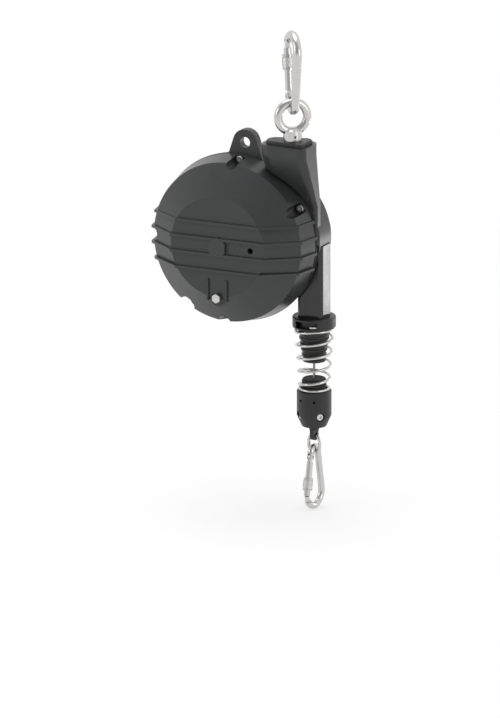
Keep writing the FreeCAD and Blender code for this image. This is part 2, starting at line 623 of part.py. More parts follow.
def rear_casing():
    solid = turned_y(casing_profile())
    solid = solid.fuse(fender()).fuse(column_body()).fuse(safety_lug())
    x, z = on_circle(SCREW_CIRCLE_R, LOW_BOSS_ANGLE)
    solid = solid.fuse(cylinder_y(LOW_BOSS_R, depth(CASE_FRONT_DEPTH),
                                  depth(CASE_FRONT_DEPTH + CASE_BOSS_LONG), x, z))
    # the cover fills the space in front of the joint line
    front = turned_y(cover_profile(RIB_PROUD + LOOSE_GAP))
    solid = solid.cut(front.fuse(cylinder_y(CASE_FRONT_R, depth(BEVEL_DEPTH), depth(CASE_FRONT_DEPTH))))
    hollow_profile = casing_profile(CASE_WALL)
    for i in (0, 1):
        r, y = hollow_profile[i]
        hollow_profile[i] = (r, y - 1.0)
    inner = turned_y(hollow_profile)
    inner = inner.fuse(fender(CASE_WALL).common(
        box_between(DRUM_X, ROPE_X + FENDER_R, depth(0), depth(CASE_DEPTH),
                    DRUM_Z - FENDER_HOLLOW_HALF, DRUM_Z + FENDER_HOLLOW_HALF)))
    solid = solid.cut(inner)
    # hollow column under its web, and the recess that takes the hanger plate
    web_top = COLUMN_TOP_Z - COLUMN_POCKET_DEEP
    web_low = web_top - COLUMN_WEB
    hollow = column_body(COLUMN_WALL).common(
        box_between(DRUM_X, COLUMN_RIGHT, COLUMN_FRONT, COLUMN_BACK + COLUMN_FOOT_LEAN,
                    COLUMN_HOLLOW_END_Z, web_low))
    recess = column_block(COLUMN_WALL, web_top, COLUMN_TOP_Z + 1.0)
    solid = solid.cut(hollow).cut(recess)
    solid = solid.cut(cylinder_z(HANGER_SPIGOT_R + SEAT_GAP, web_low - 1, web_top + 1))
    # bosses for the cover screws
    boss_room = turned_y(casing_profile()).cut(cylinder_y(DRUM_FLANGE_R + DRUM_ROOM, depth(0), depth(CASE_DEPTH)))
    for angle in SCREW_ANGLES:
        x, z = on_circle(SCREW_CIRCLE_R, angle)
        boss = cylinder_y(CASE_BOSS_R, depth(CASE_FRONT_DEPTH), depth(CASE_FRONT_DEPTH + CASE_BOSS_LONG), x, z)
        solid = solid.fuse(boss.common(boss_room))
        solid = solid.cut(cylinder_y(SCREW_R, depth(CASE_FRONT_DEPTH - 1),
                                     depth(COVER_DEPTH - FLANGE_THICK + SCREW_LONG + 1), x, z))
    # rear hub for the arbor, and the hole that lets the chute in
    hub_front = depth(ARBOR_BACK_DEPTH - REAR_BUSH_LONG)
    solid = solid.fuse(cylinder_y(HUB_R, hub_front, depth(CASE_DEPTH - CASE_WALL / 2)))
    solid = solid.cut(cylinder_y(ARBOR_R + BUSH_WALL, hub_front - 1, depth(ARBOR_BACK_DEPTH + 0.5)))
    solid = solid.cut(chute_block(-SEAT_GAP, COLLAR_TOP_Z, CHUTE_TOP_Z))
    solid = solid.cut(cylinder_y(LUG_HOLE_R, depth(0), depth(CASE_DEPTH), LUG_X, LUG_Z))
    rim_low = DRUM_Z - CASE_FRONT_R
    solid = solid.cut(box_between(DRUM_X - DRAIN_SLOT_WIDE / 2, DRUM_X + DRAIN_SLOT_WIDE / 2,
                                  depth(COVER_DEPTH), depth(CASE_FRONT_DEPTH + DRAIN_SLOT_LONG),
                                  rim_low - DRAIN_SLOT_DEEP, rim_low + DRAIN_SLOT_DEEP))
    for i in range(BACK_RIB_COUNT):
        rib = box_between(HUB_R, CASE_SHOULDER_R - BACK_RIB_SHY, depth(CASE_DEPTH - 1),
                          depth(CASE_DEPTH + BACK_RIB_PROUD), -BACK_RIB_THICK / 2, BACK_RIB_THICK / 2)
        rib.rotate(V(0, 0, 0), Y_AXIS, 360.0 / BACK_RIB_COUNT * (i + 0.5))
        rib.translate(V(DRUM_X, 0, DRUM_Z))
        solid = solid.fuse(rib)
    solid = solid.fuse(cylinder_y(BACK_RING_R, depth(CASE_DEPTH - 1), depth(CASE_DEPTH + BACK_RIB_PROUD)))
    return solid.removeSplitter()


# ------------------------------------------------------------------ swivel and eye
def hanger_plate():
    """Plate that fills the column's mouth, bears the swivel bolt and carries its washer."""
    web_top = COLUMN_TOP_Z - COLUMN_POCKET_DEEP
    seat = COLUMN_TOP_Z + HANGER_PROUD
    top = seat + THRUST_SUNK
    plate = column_block(COLUMN_WALL + HANGER_FIT, web_top, top - HANGER_STEP)
    crown = column_block(COLUMN_WALL + HANGER_FIT + HANGER_STEP, top - HANGER_STEP, top)
    plate = plate.fuse(crown).fuse(cylinder_z(HANGER_SPIGOT_R, web_top - COLUMN_WEB, web_top))
    plate = plate.cut(cylinder_z(THRUST_R + LOOSE_GAP, seat, top + 1))
    return plate.cut(cylinder_z(BOLT_R + RUN_GAP, web_top - COLUMN_WEB - 1, top + 1))


def thrust_washer():
    top = COLUMN_TOP_Z + HANGER_PROUD
    washer = cylinder_z(THRUST_R, top + SEAT_GAP, EYE_BASE_Z)
    return washer.cut(cylinder_z(BOLT_R + SEAT_GAP, top - 1, EYE_BASE_Z + 1))


def swivel_bolt():
    """Stud from the eye nut down through the plate, with its head below the web."""
    web_low = COLUMN_TOP_Z - COLUMN_POCKET_DEEP - COLUMN_WEB
    head_top = web_low - BOLT_WASHER_THICK - SEAT_GAP
    stud = cylinder_z(BOLT_R, head_top, EYE_NECK_Z)
    head = cylinder_z(BOLT_HEAD_R, head_top - BOLT_HEAD_LONG, head_top)
    bolt = stud.fuse(head)
    return bolt.cut(eye_lock_pin())


def bolt_washer():
    web_low = COLUMN_TOP_Z - COLUMN_POCKET_DEEP - COLUMN_WEB
    washer = cylinder_z(BOLT_WASHER_R, web_low - BOLT_WASHER_THICK, web_low - SEAT_GAP)
    return washer.cut(cylinder_z(BOLT_R + SEAT_GAP, web_low - 10, web_low))


def heading(angle):
    a = math.radians(angle)
    return V(math.cos(a), math.sin(a), 0)


def eye_lock_pin():
    n = heading(EYE_ANGLE)
    half = EYE_BASE_R - LOCK_PIN_SHY
    return Part.makeCylinder(LOCK_PIN_R, 2 * half, V(0, 0, LOCK_PIN_Z) - n * half, n)


def eye_nut():
    """Lifting eye nut: a forged ring on a tapered, bored boss."""
    n = heading(EYE_ANGLE)
    ring = Part.makeTorus(RING_R, RING_ROD_R, V(0, 0, RING_Z), n)
    top = EYE_NECK_Z + EYE_CROWN
    boss = turned_z([(0, EYE_BASE_Z), (EYE_BASE_R, EYE_BASE_Z), (EYE_BASE_R, EYE_BASE_Z + EYE_COLLAR_LONG),
                     (EYE_NECK_R, EYE_NECK_Z), (EYE_NECK_R - EYE_CROWN, top), (0, top)])
    eye = ring.fuse(boss)
    eye = eye.cut(cylinder_z(BOLT_R, EYE_BASE_Z - 1, EYE_NECK_Z))
    hole = Part.makeCylinder(LOCK_PIN_R, 4 * EYE_BASE_R, V(0, 0, LOCK_PIN_Z) - n * 2 * EYE_BASE_R, n)
    return eye.cut(hole)


# ------------------------------------------------------------------ snap hooks
def hook_lines(h):
    """Key points of a pear-shaped hook in its own XZ plane.

    The wide bow's centre is the origin, the gate is on the -X side, and the
    narrow bow, which holds the ring, is below."""
    wide_r = h["wide"] / 2.0 - h["rod_r"]
    narrow_z = -(h["long"] - wide_r - 2 * h["rod_r"] - h["narrow_r"])
    lean = math.asin((wide_r - h["narrow_r"]) / -narrow_z)
    c, s = math.cos(lean), math.sin(lean)
    return dict(wide_r=wide_r, narrow_z=narrow_z, lean=lean,
                wide_right=V(wide_r * c, 0, -wide_r * s), wide_left=V(-wide_r * c, 0, -wide_r * s),
                narrow_right=V(h["narrow_r"] * c, 0, narrow_z - h["narrow_r"] * s),
                narrow_left=V(-h["narrow_r"] * c, 0, narrow_z - h["narrow_r"] * s),
                gate_dir=V(-s, 0, c))


def arc_xz(r, z, start, end):
    """Circular edge in the XZ plane about (0, z), between two angles in degrees."""
    middle = (start + end) / 2.0
    points = []
    for a in (start, middle, end):
        t = math.radians(a)
        points.append(V(r * math.cos(t), 0, z + r * math.sin(t)))
    return Part.Arc(*points).toShape()


def swept_rod(edges, r):
    path = Part.Wire(edges)
    start = path.Edges[0]
    origin = start.valueAt(start.FirstParameter)
    along = start.tangentAt(start.FirstParameter)
    circle = Part.Wire([Part.makeCircle(r, origin, along)])
    return path.makePipeShell([circle], True, False)


def up_the_gate(h, share):
    """Point on the gate's line, a share of the rod's radius above the narrow bow."""
    lines = hook_lines(h)
    return lines["narrow_left"] + lines["gate_dir"] * (h["rod_r"] * share)


def hinge_pin_at(h, r, half):
    """Cylinder along Y through the gate's hinge."""
    return Part.makeCylinder(r, 2 * half, up_the_gate(h, PIN_RISE) - Y_AXIS * half, Y_AXIS)


def hook_body(h):
    lines = hook_lines(h)
    lean = math.degrees(lines["lean"])
    edges = [
        arc_xz(lines["wide_r"], 0, NOSE_STEP_DEG, -lean),
        Part.LineSegment(lines["wide_right"], lines["narrow_right"]).toShape(),
        arc_xz(h["narrow_r"], lines["narrow_z"], -lean, -180.0 + lean),
        Part.LineSegment(lines["narrow_left"], up_the_gate(h, FORK_RISE)).toShape(),
    ]
    body = swept_rod(edges, h["rod_r"])
    nose = swept_rod([arc_xz(lines["wide_r"], 0, NOSE_STEP_DEG - 2.0, NOSE_END_DEG)], h["nose_r"])
    body = body.fuse(nose)
    return body.cut(fork_slot(h)).cut(hinge_pin_at(h, h["pin_r"], 2 * h["rod_r"]))


def fork_slot(h):
    """Slot of the fork, down to just under the gate's rounded tang."""
    lines = hook_lines(h)
    half = h["rod_r"] * FORK_SLOT
    low = up_the_gate(h, PIN_RISE - TANG_ROUND) - lines["gate_dir"] * 2 * LOOSE_GAP
    long = (up_the_gate(h, FORK_RISE) - low).Length + h["rod_r"]
    slot = Part.makeBox(4 * h["rod_r"], 2 * half, long, V(-2 * h["rod_r"], -half, 0))
    slot.rotate(V(0, 0, 0), Y_AXIS, -math.degrees(lines["lean"]))
    slot.translate(low)
    return slot


def hook_pin(h):
    return hinge_pin_at(h, h["pin_r"], h["rod_r"] - PIN_SHY)


def hook_gate(h):
    """Spring gate: a rod with a flat tang that turns on the pin."""
    lines = hook_lines(h)
    pin = up_the_gate(h, PIN_RISE)
    up = lines["gate_dir"]
    shoulder = up_the_gate(h, PIN_RISE + GATE_SHOULDER)
    top = lines["wide_left"] + up * (lines["wide_r"] * math.sin(lines["lean"]) + h["rod_r"] * NOSE_GAP)
    rod = Part.makeCylinder(h["gate_r"], (top - shoulder).Length, shoulder, up)
    half = h["rod_r"] * FORK_SLOT - TANG_GAP
    tang_r = h["rod_r"] * TANG_ROUND
    tang = hinge_pin_at(h, tang_r, half)
    bar = Part.makeBox(2 * tang_r, 2 * half, (shoulder - pin).Length + 1.0, V(-tang_r, -half, 0))
    bar.rotate(V(0, 0, 0), Y_AXIS, -math.degrees(lines["lean"]))
    bar.translate(pin)
    gate = rod.fuse(tang).fuse(bar)
    return gate.cut(hinge_pin_at(h, h["pin_r"] + RUN_GAP, 2 * half))


def hook_sleeve(h):
    """Knurled lock sleeve, stored below the nose so that the gate can open."""
    lines = hook_lines(h)
    up = lines["gate_dir"]
    long = h["sleeve_long"]
    low = lines["wide_left"] - up * (h["rod_r"] * SLEEVE_DROP + long)
    sleeve = Part.makeCylinder(h["sleeve_r"], long, low, up)
    core = Part.makeCylinder(h["sleeve_r"] - SLEEVE_GROOVE_DEEP, long, low, up)
    for share in SLEEVE_GROOVES:
        ring = Part.makeCylinder(2 * h["sleeve_r"], long * SLEEVE_GROOVE_WIDE, low + up * (long * share), up)
        sleeve = sleeve.cut(ring.cut(core))
    return sleeve.cut(Part.makeCylinder(h["gate_r"] + SLEEVE_PLAY, long + 2, low - up, up))


def place_top(shape):
    shape = shape.copy()
    shape.rotate(V(0, 0, 0), Z_AXIS, EYE_ANGLE)
    return shape


def low_hook_seat_z():
    """Height of the lower hook's wide bow centre, from where the link holds it."""
    lines = hook_lines(LOW_HOOK)
    rod_under_top = LINK_BOTTOM_Z + 2 * LINK_WIRE_R + LOOSE_GAP
    return rod_under_top + LOW_HOOK["rod_r"] - LOW_HOOK["narrow_r"] + lines["narrow_z"]


def place_low(shape):
    shape = shape.copy()
    shape.rotate(V(0, 0, 0), X_AXIS, 180)
    shape.rotate(V(0, 0, 0), Z_AXIS, LOW_HEADING)
    shape.translate(V(ROPE_X, ROPE_Y, low_hook_seat_z()))
    return shape


# ------------------------------------------------------------------ arbor and preload gears
def involute_gear(teeth, addendum, y0, y1, x, z, first_tooth_deg):
    """Spur gear along Y with involute flanks and a named backlash."""
    pitch_r = GEAR_MODULE * teeth / 2.0
    base_r = pitch_r * math.cos(math.radians(PRESSURE_DEG))
    tip_r = pitch_r + GEAR_MODULE * addendum
    root_r = pitch_r - GEAR_MODULE * GEAR_DEDENDUM
    half_tooth = math.pi / (2 * teeth) - TOOTH_BACKLASH / (2 * pitch_r)
    roll = math.tan(math.radians(PRESSURE_DEG)) - math.radians(PRESSURE_DEG)
    flank = []
    start_r = max(base_r, root_r)
    for i in range(FLANK_STEPS + 1):
        r = start_r + (tip_r - start_r) * i / FLANK_STEPS
        a = math.acos(min(1.0, base_r / r))
        flank.append((r, half_tooth + roll - (math.tan(a) - a)))
    outline = []
    for k in range(teeth):
        centre = math.radians(first_tooth_deg + 360.0 * k / teeth)
        outline.append((root_r, centre - flank[0][1]))
        outline += [(r, centre - a) for r, a in flank]
        outline += [(r, centre + a) for r, a in reversed(flank)]
        outline.append((root_r, centre + flank[0][1]))
    points = []
    for r, a in outline:
        point = V(x + r * math.cos(a), y0, z + r * math.sin(a))
        if not points or (point - points[-1]).Length > 1e-4:
            points.append(point)
    return Part.Face(Part.makePolygon(points + [points[0]])).extrude(V(0, y1 - y0, 0))


def key_box(grow=0.0):
    half = KEY_WIDE / 2.0 + grow
    return box_between(DRUM_X - half, DRUM_X + half, depth(GEAR_FRONT_DEPTH), depth(GEAR_FRONT_DEPTH + GEAR_WIDE),
                       DRUM_Z + ARBOR_R - KEY_HIGH / 2, DRUM_Z + ARBOR_R + KEY_HIGH / 2 + grow)


def arbor():
    shaft = cylinder_y(ARBOR_R - RUN_GAP, depth(ARBOR_FRONT_DEPTH + ARBOR_END_SHY),
                       depth(ARBOR_BACK_DEPTH - ARBOR_END_SHY))
    return shaft.cut(key_box())


def arbor_gear():
    gear = involute_gear(GEAR_TEETH, GEAR_ADDENDUM, depth(GEAR_FRONT_DEPTH),
                         depth(GEAR_FRONT_DEPTH + GEAR_WIDE), DRUM_X, DRUM_Z, -90.0)
    gear = gear.cut(cylinder_y(ARBOR_R, depth(0), depth(COVER_DEPTH)))
    for i in range(GEAR_HOLE_COUNT):
        x, z = on_circle(GEAR_HOLE_CIRCLE_R, 360.0 / GEAR_HOLE_COUNT * i)
        gear = gear.cut(cylinder_y(GEAR_HOLE_R, depth(0), depth(COVER_DEPTH), x, z))
    return gear.cut(key_box(SEAT_GAP))


def arbor_clip():
    back = GEAR_FRONT_DEPTH - ARBOR_CLIP_GAP
    clip = cylinder_y(ARBOR_CLIP_R, depth(back - ARBOR_CLIP_THICK), depth(back))
    clip = clip.cut(cylinder_y(ARBOR_R, depth(0), depth(COVER_DEPTH)))
    half = ARBOR_CLIP_MOUTH / 2.0
    return clip.cut(box_between(DRUM_X - half, DRUM_X + half, depth(0), depth(COVER_DEPTH),
                                DRUM_Z, DRUM_Z + 2 * ARBOR_CLIP_R))


def spring_core():
    """Core that the spring's inner end hooks on, in a slot above the arbor."""
    y0 = depth(SPRING_CASE_FRONT_DEPTH + MAINSPRING_PLAY)
    core = cylinder_y(SPRING_CORE_R, y0, y0 + MAINSPRING_WIDE)
    core = core.cut(cylinder_y(ARBOR_R, depth(0), depth(COVER_DEPTH)))
    half = CORE_SLOT_WIDE / 2.0
    return core.cut(box_between(DRUM_X - half, DRUM_X + half, y0, y0 + MAINSPRING_WIDE,
                                DRUM_Z + SPRING_CORE_R - CORE_SLOT_DEEP, DRUM_Z + SPRING_CORE_R + 1))


def bush_y(r_in, y0, y1, x=DRUM_X, z=DRUM_Z, r_out=None):
    outer = r_out if r_out else ARBOR_R + BUSH_WALL
    return cylinder_y(outer, y0, y1, x, z).cut(cylinder_y(r_in, y0 - 1, y1 + 1, x, z))


def adjuster_pinion():
    """Preload pinion with its shaft and the hexagon that the key turns."""
    z = adjuster_centre_z()
    y_gear = depth(GEAR_FRONT_DEPTH)
    tooth_space = 90.0 + 180.0 / PINION_TEETH
    pinion = involute_gear(PINION_TEETH, PINION_ADDENDUM, y_gear, y_gear + GEAR_WIDE, DRUM_X, z, tooth_space)
    y_head = depth(ADJUSTER_BOSS_FRONT_DEPTH) - LOOSE_GAP - ADJUSTER_HEAD_LONG
    shaft = cylinder_y(ADJUSTER_SHAFT_R - RUN_GAP, y_head, y_gear + 1, DRUM_X, z)
    head = hexagon_y(ADJUSTER_HEAD_R, y_head, y_head + ADJUSTER_HEAD_LONG, DRUM_X, z)
    return pinion.fuse(shaft).fuse(head)


def adjuster_bush():
    z = adjuster_centre_z()
    return bush_y(ADJUSTER_SHAFT_R, depth(ADJUSTER_BOSS_FRONT_DEPTH + ADJUSTER_LIP),
                  depth(GEAR_FRONT_DEPTH - LOOSE_GAP),
                  DRUM_X, z, ADJUSTER_SHAFT_R + BUSH_WALL)


# ------------------------------------------------------------------ drum
def rope_drum():
    """Rope drum: grooved rim between two flanges, a web with windows, and a hub."""
    y0 = depth(DRUM_FRONT_DEPTH)
    y1 = depth(DRUM_BACK_DEPTH)
    floor_r = ROPE_WIND_R - ROPE_R
    inner_r = floor_r - DRUM_RIM_THICK
    t = DRUM_FLANGE_THICK
    drum = turned_y([
        (ARBOR_R + BUSH_WALL, y0), (DRUM_FLANGE_R, y0), (DRUM_FLANGE_R, y0 + t), (floor_r, y0 + t),
        (floor_r, y1 - t), (DRUM_FLANGE_R, y1 - t), (DRUM_FLANGE_R, y1), (inner_r, y1),
        (inner_r, y0 + DRUM_WEB_THICK), (DRUM_HUB_R, y0 + DRUM_WEB_THICK), (DRUM_HUB_R, y1 - DRUM_HUB_SHY),
        (ARBOR_R + BUSH_WALL, y1 - DRUM_HUB_SHY)])
    for i in range(DRUM_WINDOW_COUNT):
        x, z = on_circle(DRUM_WINDOW_CIRCLE_R, 360.0 / DRUM_WINDOW_COUNT * (i + 0.5))
        drum = drum.cut(cylinder_y(DRUM_WINDOW_R, y0 - 1, y0 + DRUM_WEB_THICK + 1, x, z))
    for i in range(CASE_SCREW_COUNT):
        x, z = on_circle(CASE_SCREW_CIRCLE_R, 360.0 / CASE_SCREW_COUNT * i)
        drum = drum.cut(cylinder_y(CASE_SCREW_R, y0 - 1, y0 + DRUM_WEB_THICK + 1, x, z))
    return drum


def drum_bushes():
    y0 = depth(DRUM_FRONT_DEPTH)
    y1 = depth(DRUM_BACK_DEPTH - DRUM_HUB_SHY)
    front = bush_y(ARBOR_R, y0, y0 + DRUM_BUSH_LONG)
    rear = bush_y(ARBOR_R, y1 - DRUM_BUSH_LONG, y1)
    return Part.makeCompound([front, rear])


def spring_case():
    y0 = depth(SPRING_CASE_FRONT_DEPTH)
    y1 = depth(DRUM_FRONT_DEPTH)
    wall = SPRING_CASE_WALL
    case = turned_y([
        (SPRING_LID_HOLE_R, y1 - wall), (SPRING_CASE_R - wall, y1 - wall), (SPRING_CASE_R - wall, y0),
        (SPRING_CASE_R, y0), (SPRING_CASE_R, y1), (SPRING_LID_HOLE_R, y1)])
    for i in range(CASE_SCREW_COUNT):
        x, z = on_circle(CASE_SCREW_CIRCLE_R, 360.0 / CASE_SCREW_COUNT * i)
        case = case.cut(cylinder_y(CASE_SCREW_R, y1 - wall - 1, y1 + 1, x, z))
    return case


def spring_lid():
    y0 = depth(SPRING_CASE_FRONT_DEPTH)
    return bush_y(SPRING_LID_HOLE_R, y0 - SPRING_LID_THICK, y0, r_out=SPRING_CASE_R)


def case_screws():
    y0 = depth(DRUM_FRONT_DEPTH) + DRUM_WEB_THICK
    screws = []
    for i in range(CASE_SCREW_COUNT):
        x, z = on_circle(CASE_SCREW_CIRCLE_R, 360.0 / CASE_SCREW_COUNT * i)
        shank = cylinder_y(CASE_SCREW_R, y0 - DRUM_WEB_THICK - SPRING_CASE_WALL, y0, x, z)
        head = cylinder_y(CASE_SCREW_HEAD_R, y0, y0 + CASE_SCREW_HEAD_LONG, x, z)
        screws.append(shank.fuse(head))
    return Part.makeCompound(screws)


def mainspring():
    """Spiral strip of half circles, from just off the core to the case wall."""
    r_start = SPRING_CORE_R + SPRING_CORE_GAP
    r_end = SPRING_CASE_R - SPRING_CASE_WALL - MAINSPRING_THICK - SPRING_WALL_GAP
    step = (r_end - r_start) / (2.0 * MAINSPRING_TURNS)
    y = depth(SPRING_CASE_FRONT_DEPTH + MAINSPRING_PLAY)
    inner = []
    outer = []
    cx = DRUM_X
    r = r_start
    side = 1
    for i in range(2 * MAINSPRING_TURNS):
        for edges, radius in ((inner, r), (outer, r + MAINSPRING_THICK)):
            edges.append(Part.Arc(V(cx + side * radius, y, DRUM_Z), V(cx, y, DRUM_Z + side * radius),
                                  V(cx - side * radius, y, DRUM_Z)).toShape())
        cx = cx + side * step
        r = r + step
        side = -side
    first_in = inner[0].valueAt(inner[0].FirstParameter)
    first_out = outer[0].valueAt(outer[0].FirstParameter)
    last_in = inner[-1].valueAt(inner[-1].LastParameter)
    last_out = outer[-1].valueAt(outer[-1].LastParameter)
    caps = [Part.LineSegment(first_in, first_out).toShape(), Part.LineSegment(last_in, last_out).toShape()]
    wire = Part.Wire(Part.__sortEdges__(inner + outer + caps))
    return Part.Face(wire).extrude(V(0, MAINSPRING_WIDE, 0))


def rope_turns():
    """The wound rope as one closed ring of its outer shape."""
    y0 = ROPE_Y - ROPE_WOUND_LONG
    y1 = ROPE_Y - ROPE_R - LOOSE_GAP
    ring = cylinder_y(ROPE_WIND_R + ROPE_R, y0, y1)
    ring = ring.cut(cylinder_y(ROPE_WIND_R - ROPE_R + SEAT_GAP, y0 - 1, y1 + 1))
    return ring


# ------------------------------------------------------------------ chute, collar, guide
def rope_chute():
    """Rectangular rope chute that hangs out of the casing's belly."""
    chute = chute_block(0.0, COLLAR_TOP_Z + SEAT_GAP, CHUTE_TOP_Z)
    chute = chute.cut(chute_block(CHUTE_WALL, COLLAR_TOP_Z - 1, CHUTE_TOP_Z + 1))
    drum_room = cylinder_y(DRUM_FLANGE_R + DRUM_ROOM, depth(0), depth(CASE_DEPTH))
    return chute.cut(drum_room)


def guide_collar():
    """Ring under the chute that the guide sits in, with a window in front."""
    low = COLLAR_TOP_Z - COLLAR_HIGH
    edge = COLLAR_EDGE
    sill = low + COLLAR_SILL
    collar = turned_z([(0, COLLAR_TOP_Z), (COLLAR_R - edge, COLLAR_TOP_Z), (COLLAR_R, COLLAR_TOP_Z - edge),
                       (COLLAR_R, low + edge), (COLLAR_R - edge, low), (0, low)], ROPE_X, ROPE_Y)
    collar = collar.cut(cylinder_z(GUIDE_TOP_R + SEAT_GAP, low - 1, COLLAR_TOP_Z - COLLAR_ROOF, ROPE_X, ROPE_Y))
    collar = collar.cut(cylinder_z(COLLAR_ROPE_R, low - 1, COLLAR_TOP_Z + 1, ROPE_X, ROPE_Y))
    window = box_between(ROPE_X - COLLAR_WINDOW_WIDE / 2, ROPE_X + COLLAR_WINDOW_WIDE / 2,
                         ROPE_Y - COLLAR_R - 1, ROPE_Y, sill, sill + COLLAR_WINDOW_HIGH)
    return collar.cut(window)


def guide_bush():
    """Tapered rope guide with turned rings, clipped into the collar."""
    top = COLLAR_TOP_Z - COLLAR_ROOF - SEAT_GAP
    low = GUIDE_BOTTOM_Z
    cone_top = COLLAR_TOP_Z - COLLAR_HIGH - GUIDE_PROUD
    step = (cone_top - low) / (2.0 * GUIDE_RING_COUNT)
    profile = [(GUIDE_BORE_R, top), (GUIDE_TOP_R, top), (GUIDE_TOP_R, cone_top)]
    for i in range(GUIDE_RING_COUNT):
        share = (2 * i + 1) / (2.0 * GUIDE_RING_COUNT)
        r = GUIDE_TOP_R + (GUIDE_BOTTOM_R - GUIDE_TOP_R) * share
        z = cone_top - 2 * i * step
        profile += [(r - GUIDE_RING_DEEP, z - 0.3 * step), (r - GUIDE_RING_DEEP, z - 0.9 * step),
                    (r, z - 1.2 * step), (r - 0.3, z - 2.0 * step)]
    profile += [(GUIDE_BORE_R + GUIDE_MOUTH, low), (GUIDE_BORE_R, low + GUIDE_MOUTH)]
    return turned_z(profile, ROPE_X, ROPE_Y)


def guide_clip():
    """Steel ring behind the collar's window that holds the guide."""
    low = COLLAR_TOP_Z - COLLAR_HIGH
    clip = cylinder_z(COLLAR_R - CLIP_SHY, low + CLIP_RISE, low + CLIP_RISE + CLIP_THICK, ROPE_X, ROPE_Y)
    clip = clip.cut(cylinder_z(GUIDE_TOP_R + SEAT_GAP, low, COLLAR_TOP_Z, ROPE_X, ROPE_Y))
    window = box_between(ROPE_X + CLIP_LEFT_X, ROPE_X + COLLAR_WINDOW_WIDE / 2 - LOOSE_GAP,
                         ROPE_Y - COLLAR_R - 1, ROPE_Y - CLIP_BACK_OFF, low, COLLAR_TOP_Z)
    return clip.common(window)


# ------------------------------------------------------------------ rope end
def buffer_spring():
    """Conical buffer spring with a closed turn at each end, in short lengths of wire."""
    top = COLLAR_TOP_Z - COLLAR_HIGH - LOOSE_GAP - BUFFER_WIRE_R
    low = BLOCK_TOP_Z + BUFFER_WIRE_R + SEAT_GAP
    high = top - low
    flare = math.degrees(math.atan2(BUFFER_TOP_R - BUFFER_END_R, high))
    pieces = []
    for i in range(BUFFER_LENGTHS):
        share = i / BUFFER_LENGTHS
        r = BUFFER_END_R + (BUFFER_TOP_R - BUFFER_END_R) * share
        helix = Part.makeHelix(high / BUFFER_TURNS, high / BUFFER_LENGTHS, r, flare)
        coil = swept_rod(helix.Edges, BUFFER_WIRE_R)
        coil.rotate(V(0, 0, 0), Z_AXIS, 360.0 * BUFFER_TURNS * share)
        coil.translate(V(0, 0, low + high * share))
        pieces.append(coil)
    end = BUFFER_TURNS * 360.0
    for r, z, first in ((BUFFER_END_R, low, -1.0 - BUFFER_CLOSED_DEG), (BUFFER_TOP_R, top, end + 1.0)):
        ring = Part.makeTorus(r, BUFFER_WIRE_R, V(0, 0, z), Z_AXIS, 0, 360, BUFFER_CLOSED_DEG)
        ring.rotate(V(0, 0, 0), Z_AXIS, first)
        pieces.append(ring)
    spring = Part.makeCompound(pieces)
    spring.rotate(V(0, 0, 0), Z_AXIS, BUFFER_START_DEG)
    spring.translate(V(ROPE_X, ROPE_Y, 0))
    return spring


def buffer_stub():
    """Ribbed rubber stop on top of the clamp block, inside the spring."""
    step = (STUB_TOP_Z - BLOCK_TOP_Z) / (2.0 * STUB_RING_COUNT)
    profile = [(STUB_BORE_R, BLOCK_TOP_Z + SEAT_GAP)]
    for i in range(STUB_RING_COUNT):
        z = BLOCK_TOP_Z + SEAT_GAP + 2 * i * step
        profile += [(STUB_R, z), (STUB_R, z + 1.1 * step), (STUB_R - STUB_RING_DEEP, z + 1.3 * step),
                    (STUB_R - STUB_RING_DEEP, z + 1.8 * step)]
    profile += [(STUB_R - STUB_CROWN, STUB_TOP_Z), (STUB_BORE_R, STUB_TOP_Z)]
    return turned_z(profile, ROPE_X, ROPE_Y)


def clamp_recess(angle, r, inner, outer, z):
    a = math.radians(angle)
    out = V(math.cos(a), math.sin(a), 0)
    return Part.makeCylinder(r, outer - inner, V(ROPE_X, ROPE_Y, z) + out * inner, out)


def clamp_block():
    """Two-diameter block that clamps the rope's end and carries the swivel stem."""
    edge = BLOCK_EDGE
    block = turned_z([(0, BLOCK_BOTTOM_Z), (BLOCK_BOTTOM_R, BLOCK_BOTTOM_Z),
                      (BLOCK_BOTTOM_R + edge, BLOCK_BOTTOM_Z + 2 * edge), (BLOCK_R, BLOCK_CHAMFER_Z),
                      (BLOCK_R, BLOCK_TOP_Z - edge), (BLOCK_R - edge, BLOCK_TOP_Z), (0, BLOCK_TOP_Z)],
                     ROPE_X, ROPE_Y)
    block = block.cut(cylinder_z(BLOCK_ROPE_BORE_R, BLOCK_CHAMFER_Z, BLOCK_TOP_Z + 1, ROPE_X, ROPE_Y))
    block = block.cut(cylinder_z(FERRULE_R + SEAT_GAP, CLAMP_SCREW_Z - FERRULE_HALF - 1,
                                 CLAMP_SCREW_Z + FERRULE_HALF + SEAT_GAP, ROPE_X, ROPE_Y))
    pocket_low = BLOCK_BOTTOM_Z + BLOCK_FLOOR
    pocket_top = pocket_low + STEM_POCKET_LONG
    block = block.cut(cylinder_z(STEM_HEAD_R + LOOSE_GAP, pocket_low, pocket_top, ROPE_X, ROPE_Y))
    block = block.cut(cylinder_z(STEM_SPIGOT_R + RUN_GAP, BLOCK_BOTTOM_Z - 1, pocket_top, ROPE_X, ROPE_Y))
    seat = BLOCK_R - CLAMP_SEAT
    for angle in CLAMP_ANGLES:
        block = block.cut(clamp_recess(angle, CLAMP_RECESS_R, seat, BLOCK_R + 5, CLAMP_SCREW_Z))
        block = block.cut(clamp_recess(angle, CLAMP_SCREW_R, 0.0, BLOCK_R, CLAMP_SCREW_Z))
    for angle in CLAMP_HOLE_ANGLES:
        block = block.cut(clamp_recess(angle, CLAMP_HOLE_R, seat, BLOCK_R + 5, CLAMP_HOLE_Z))
    return block


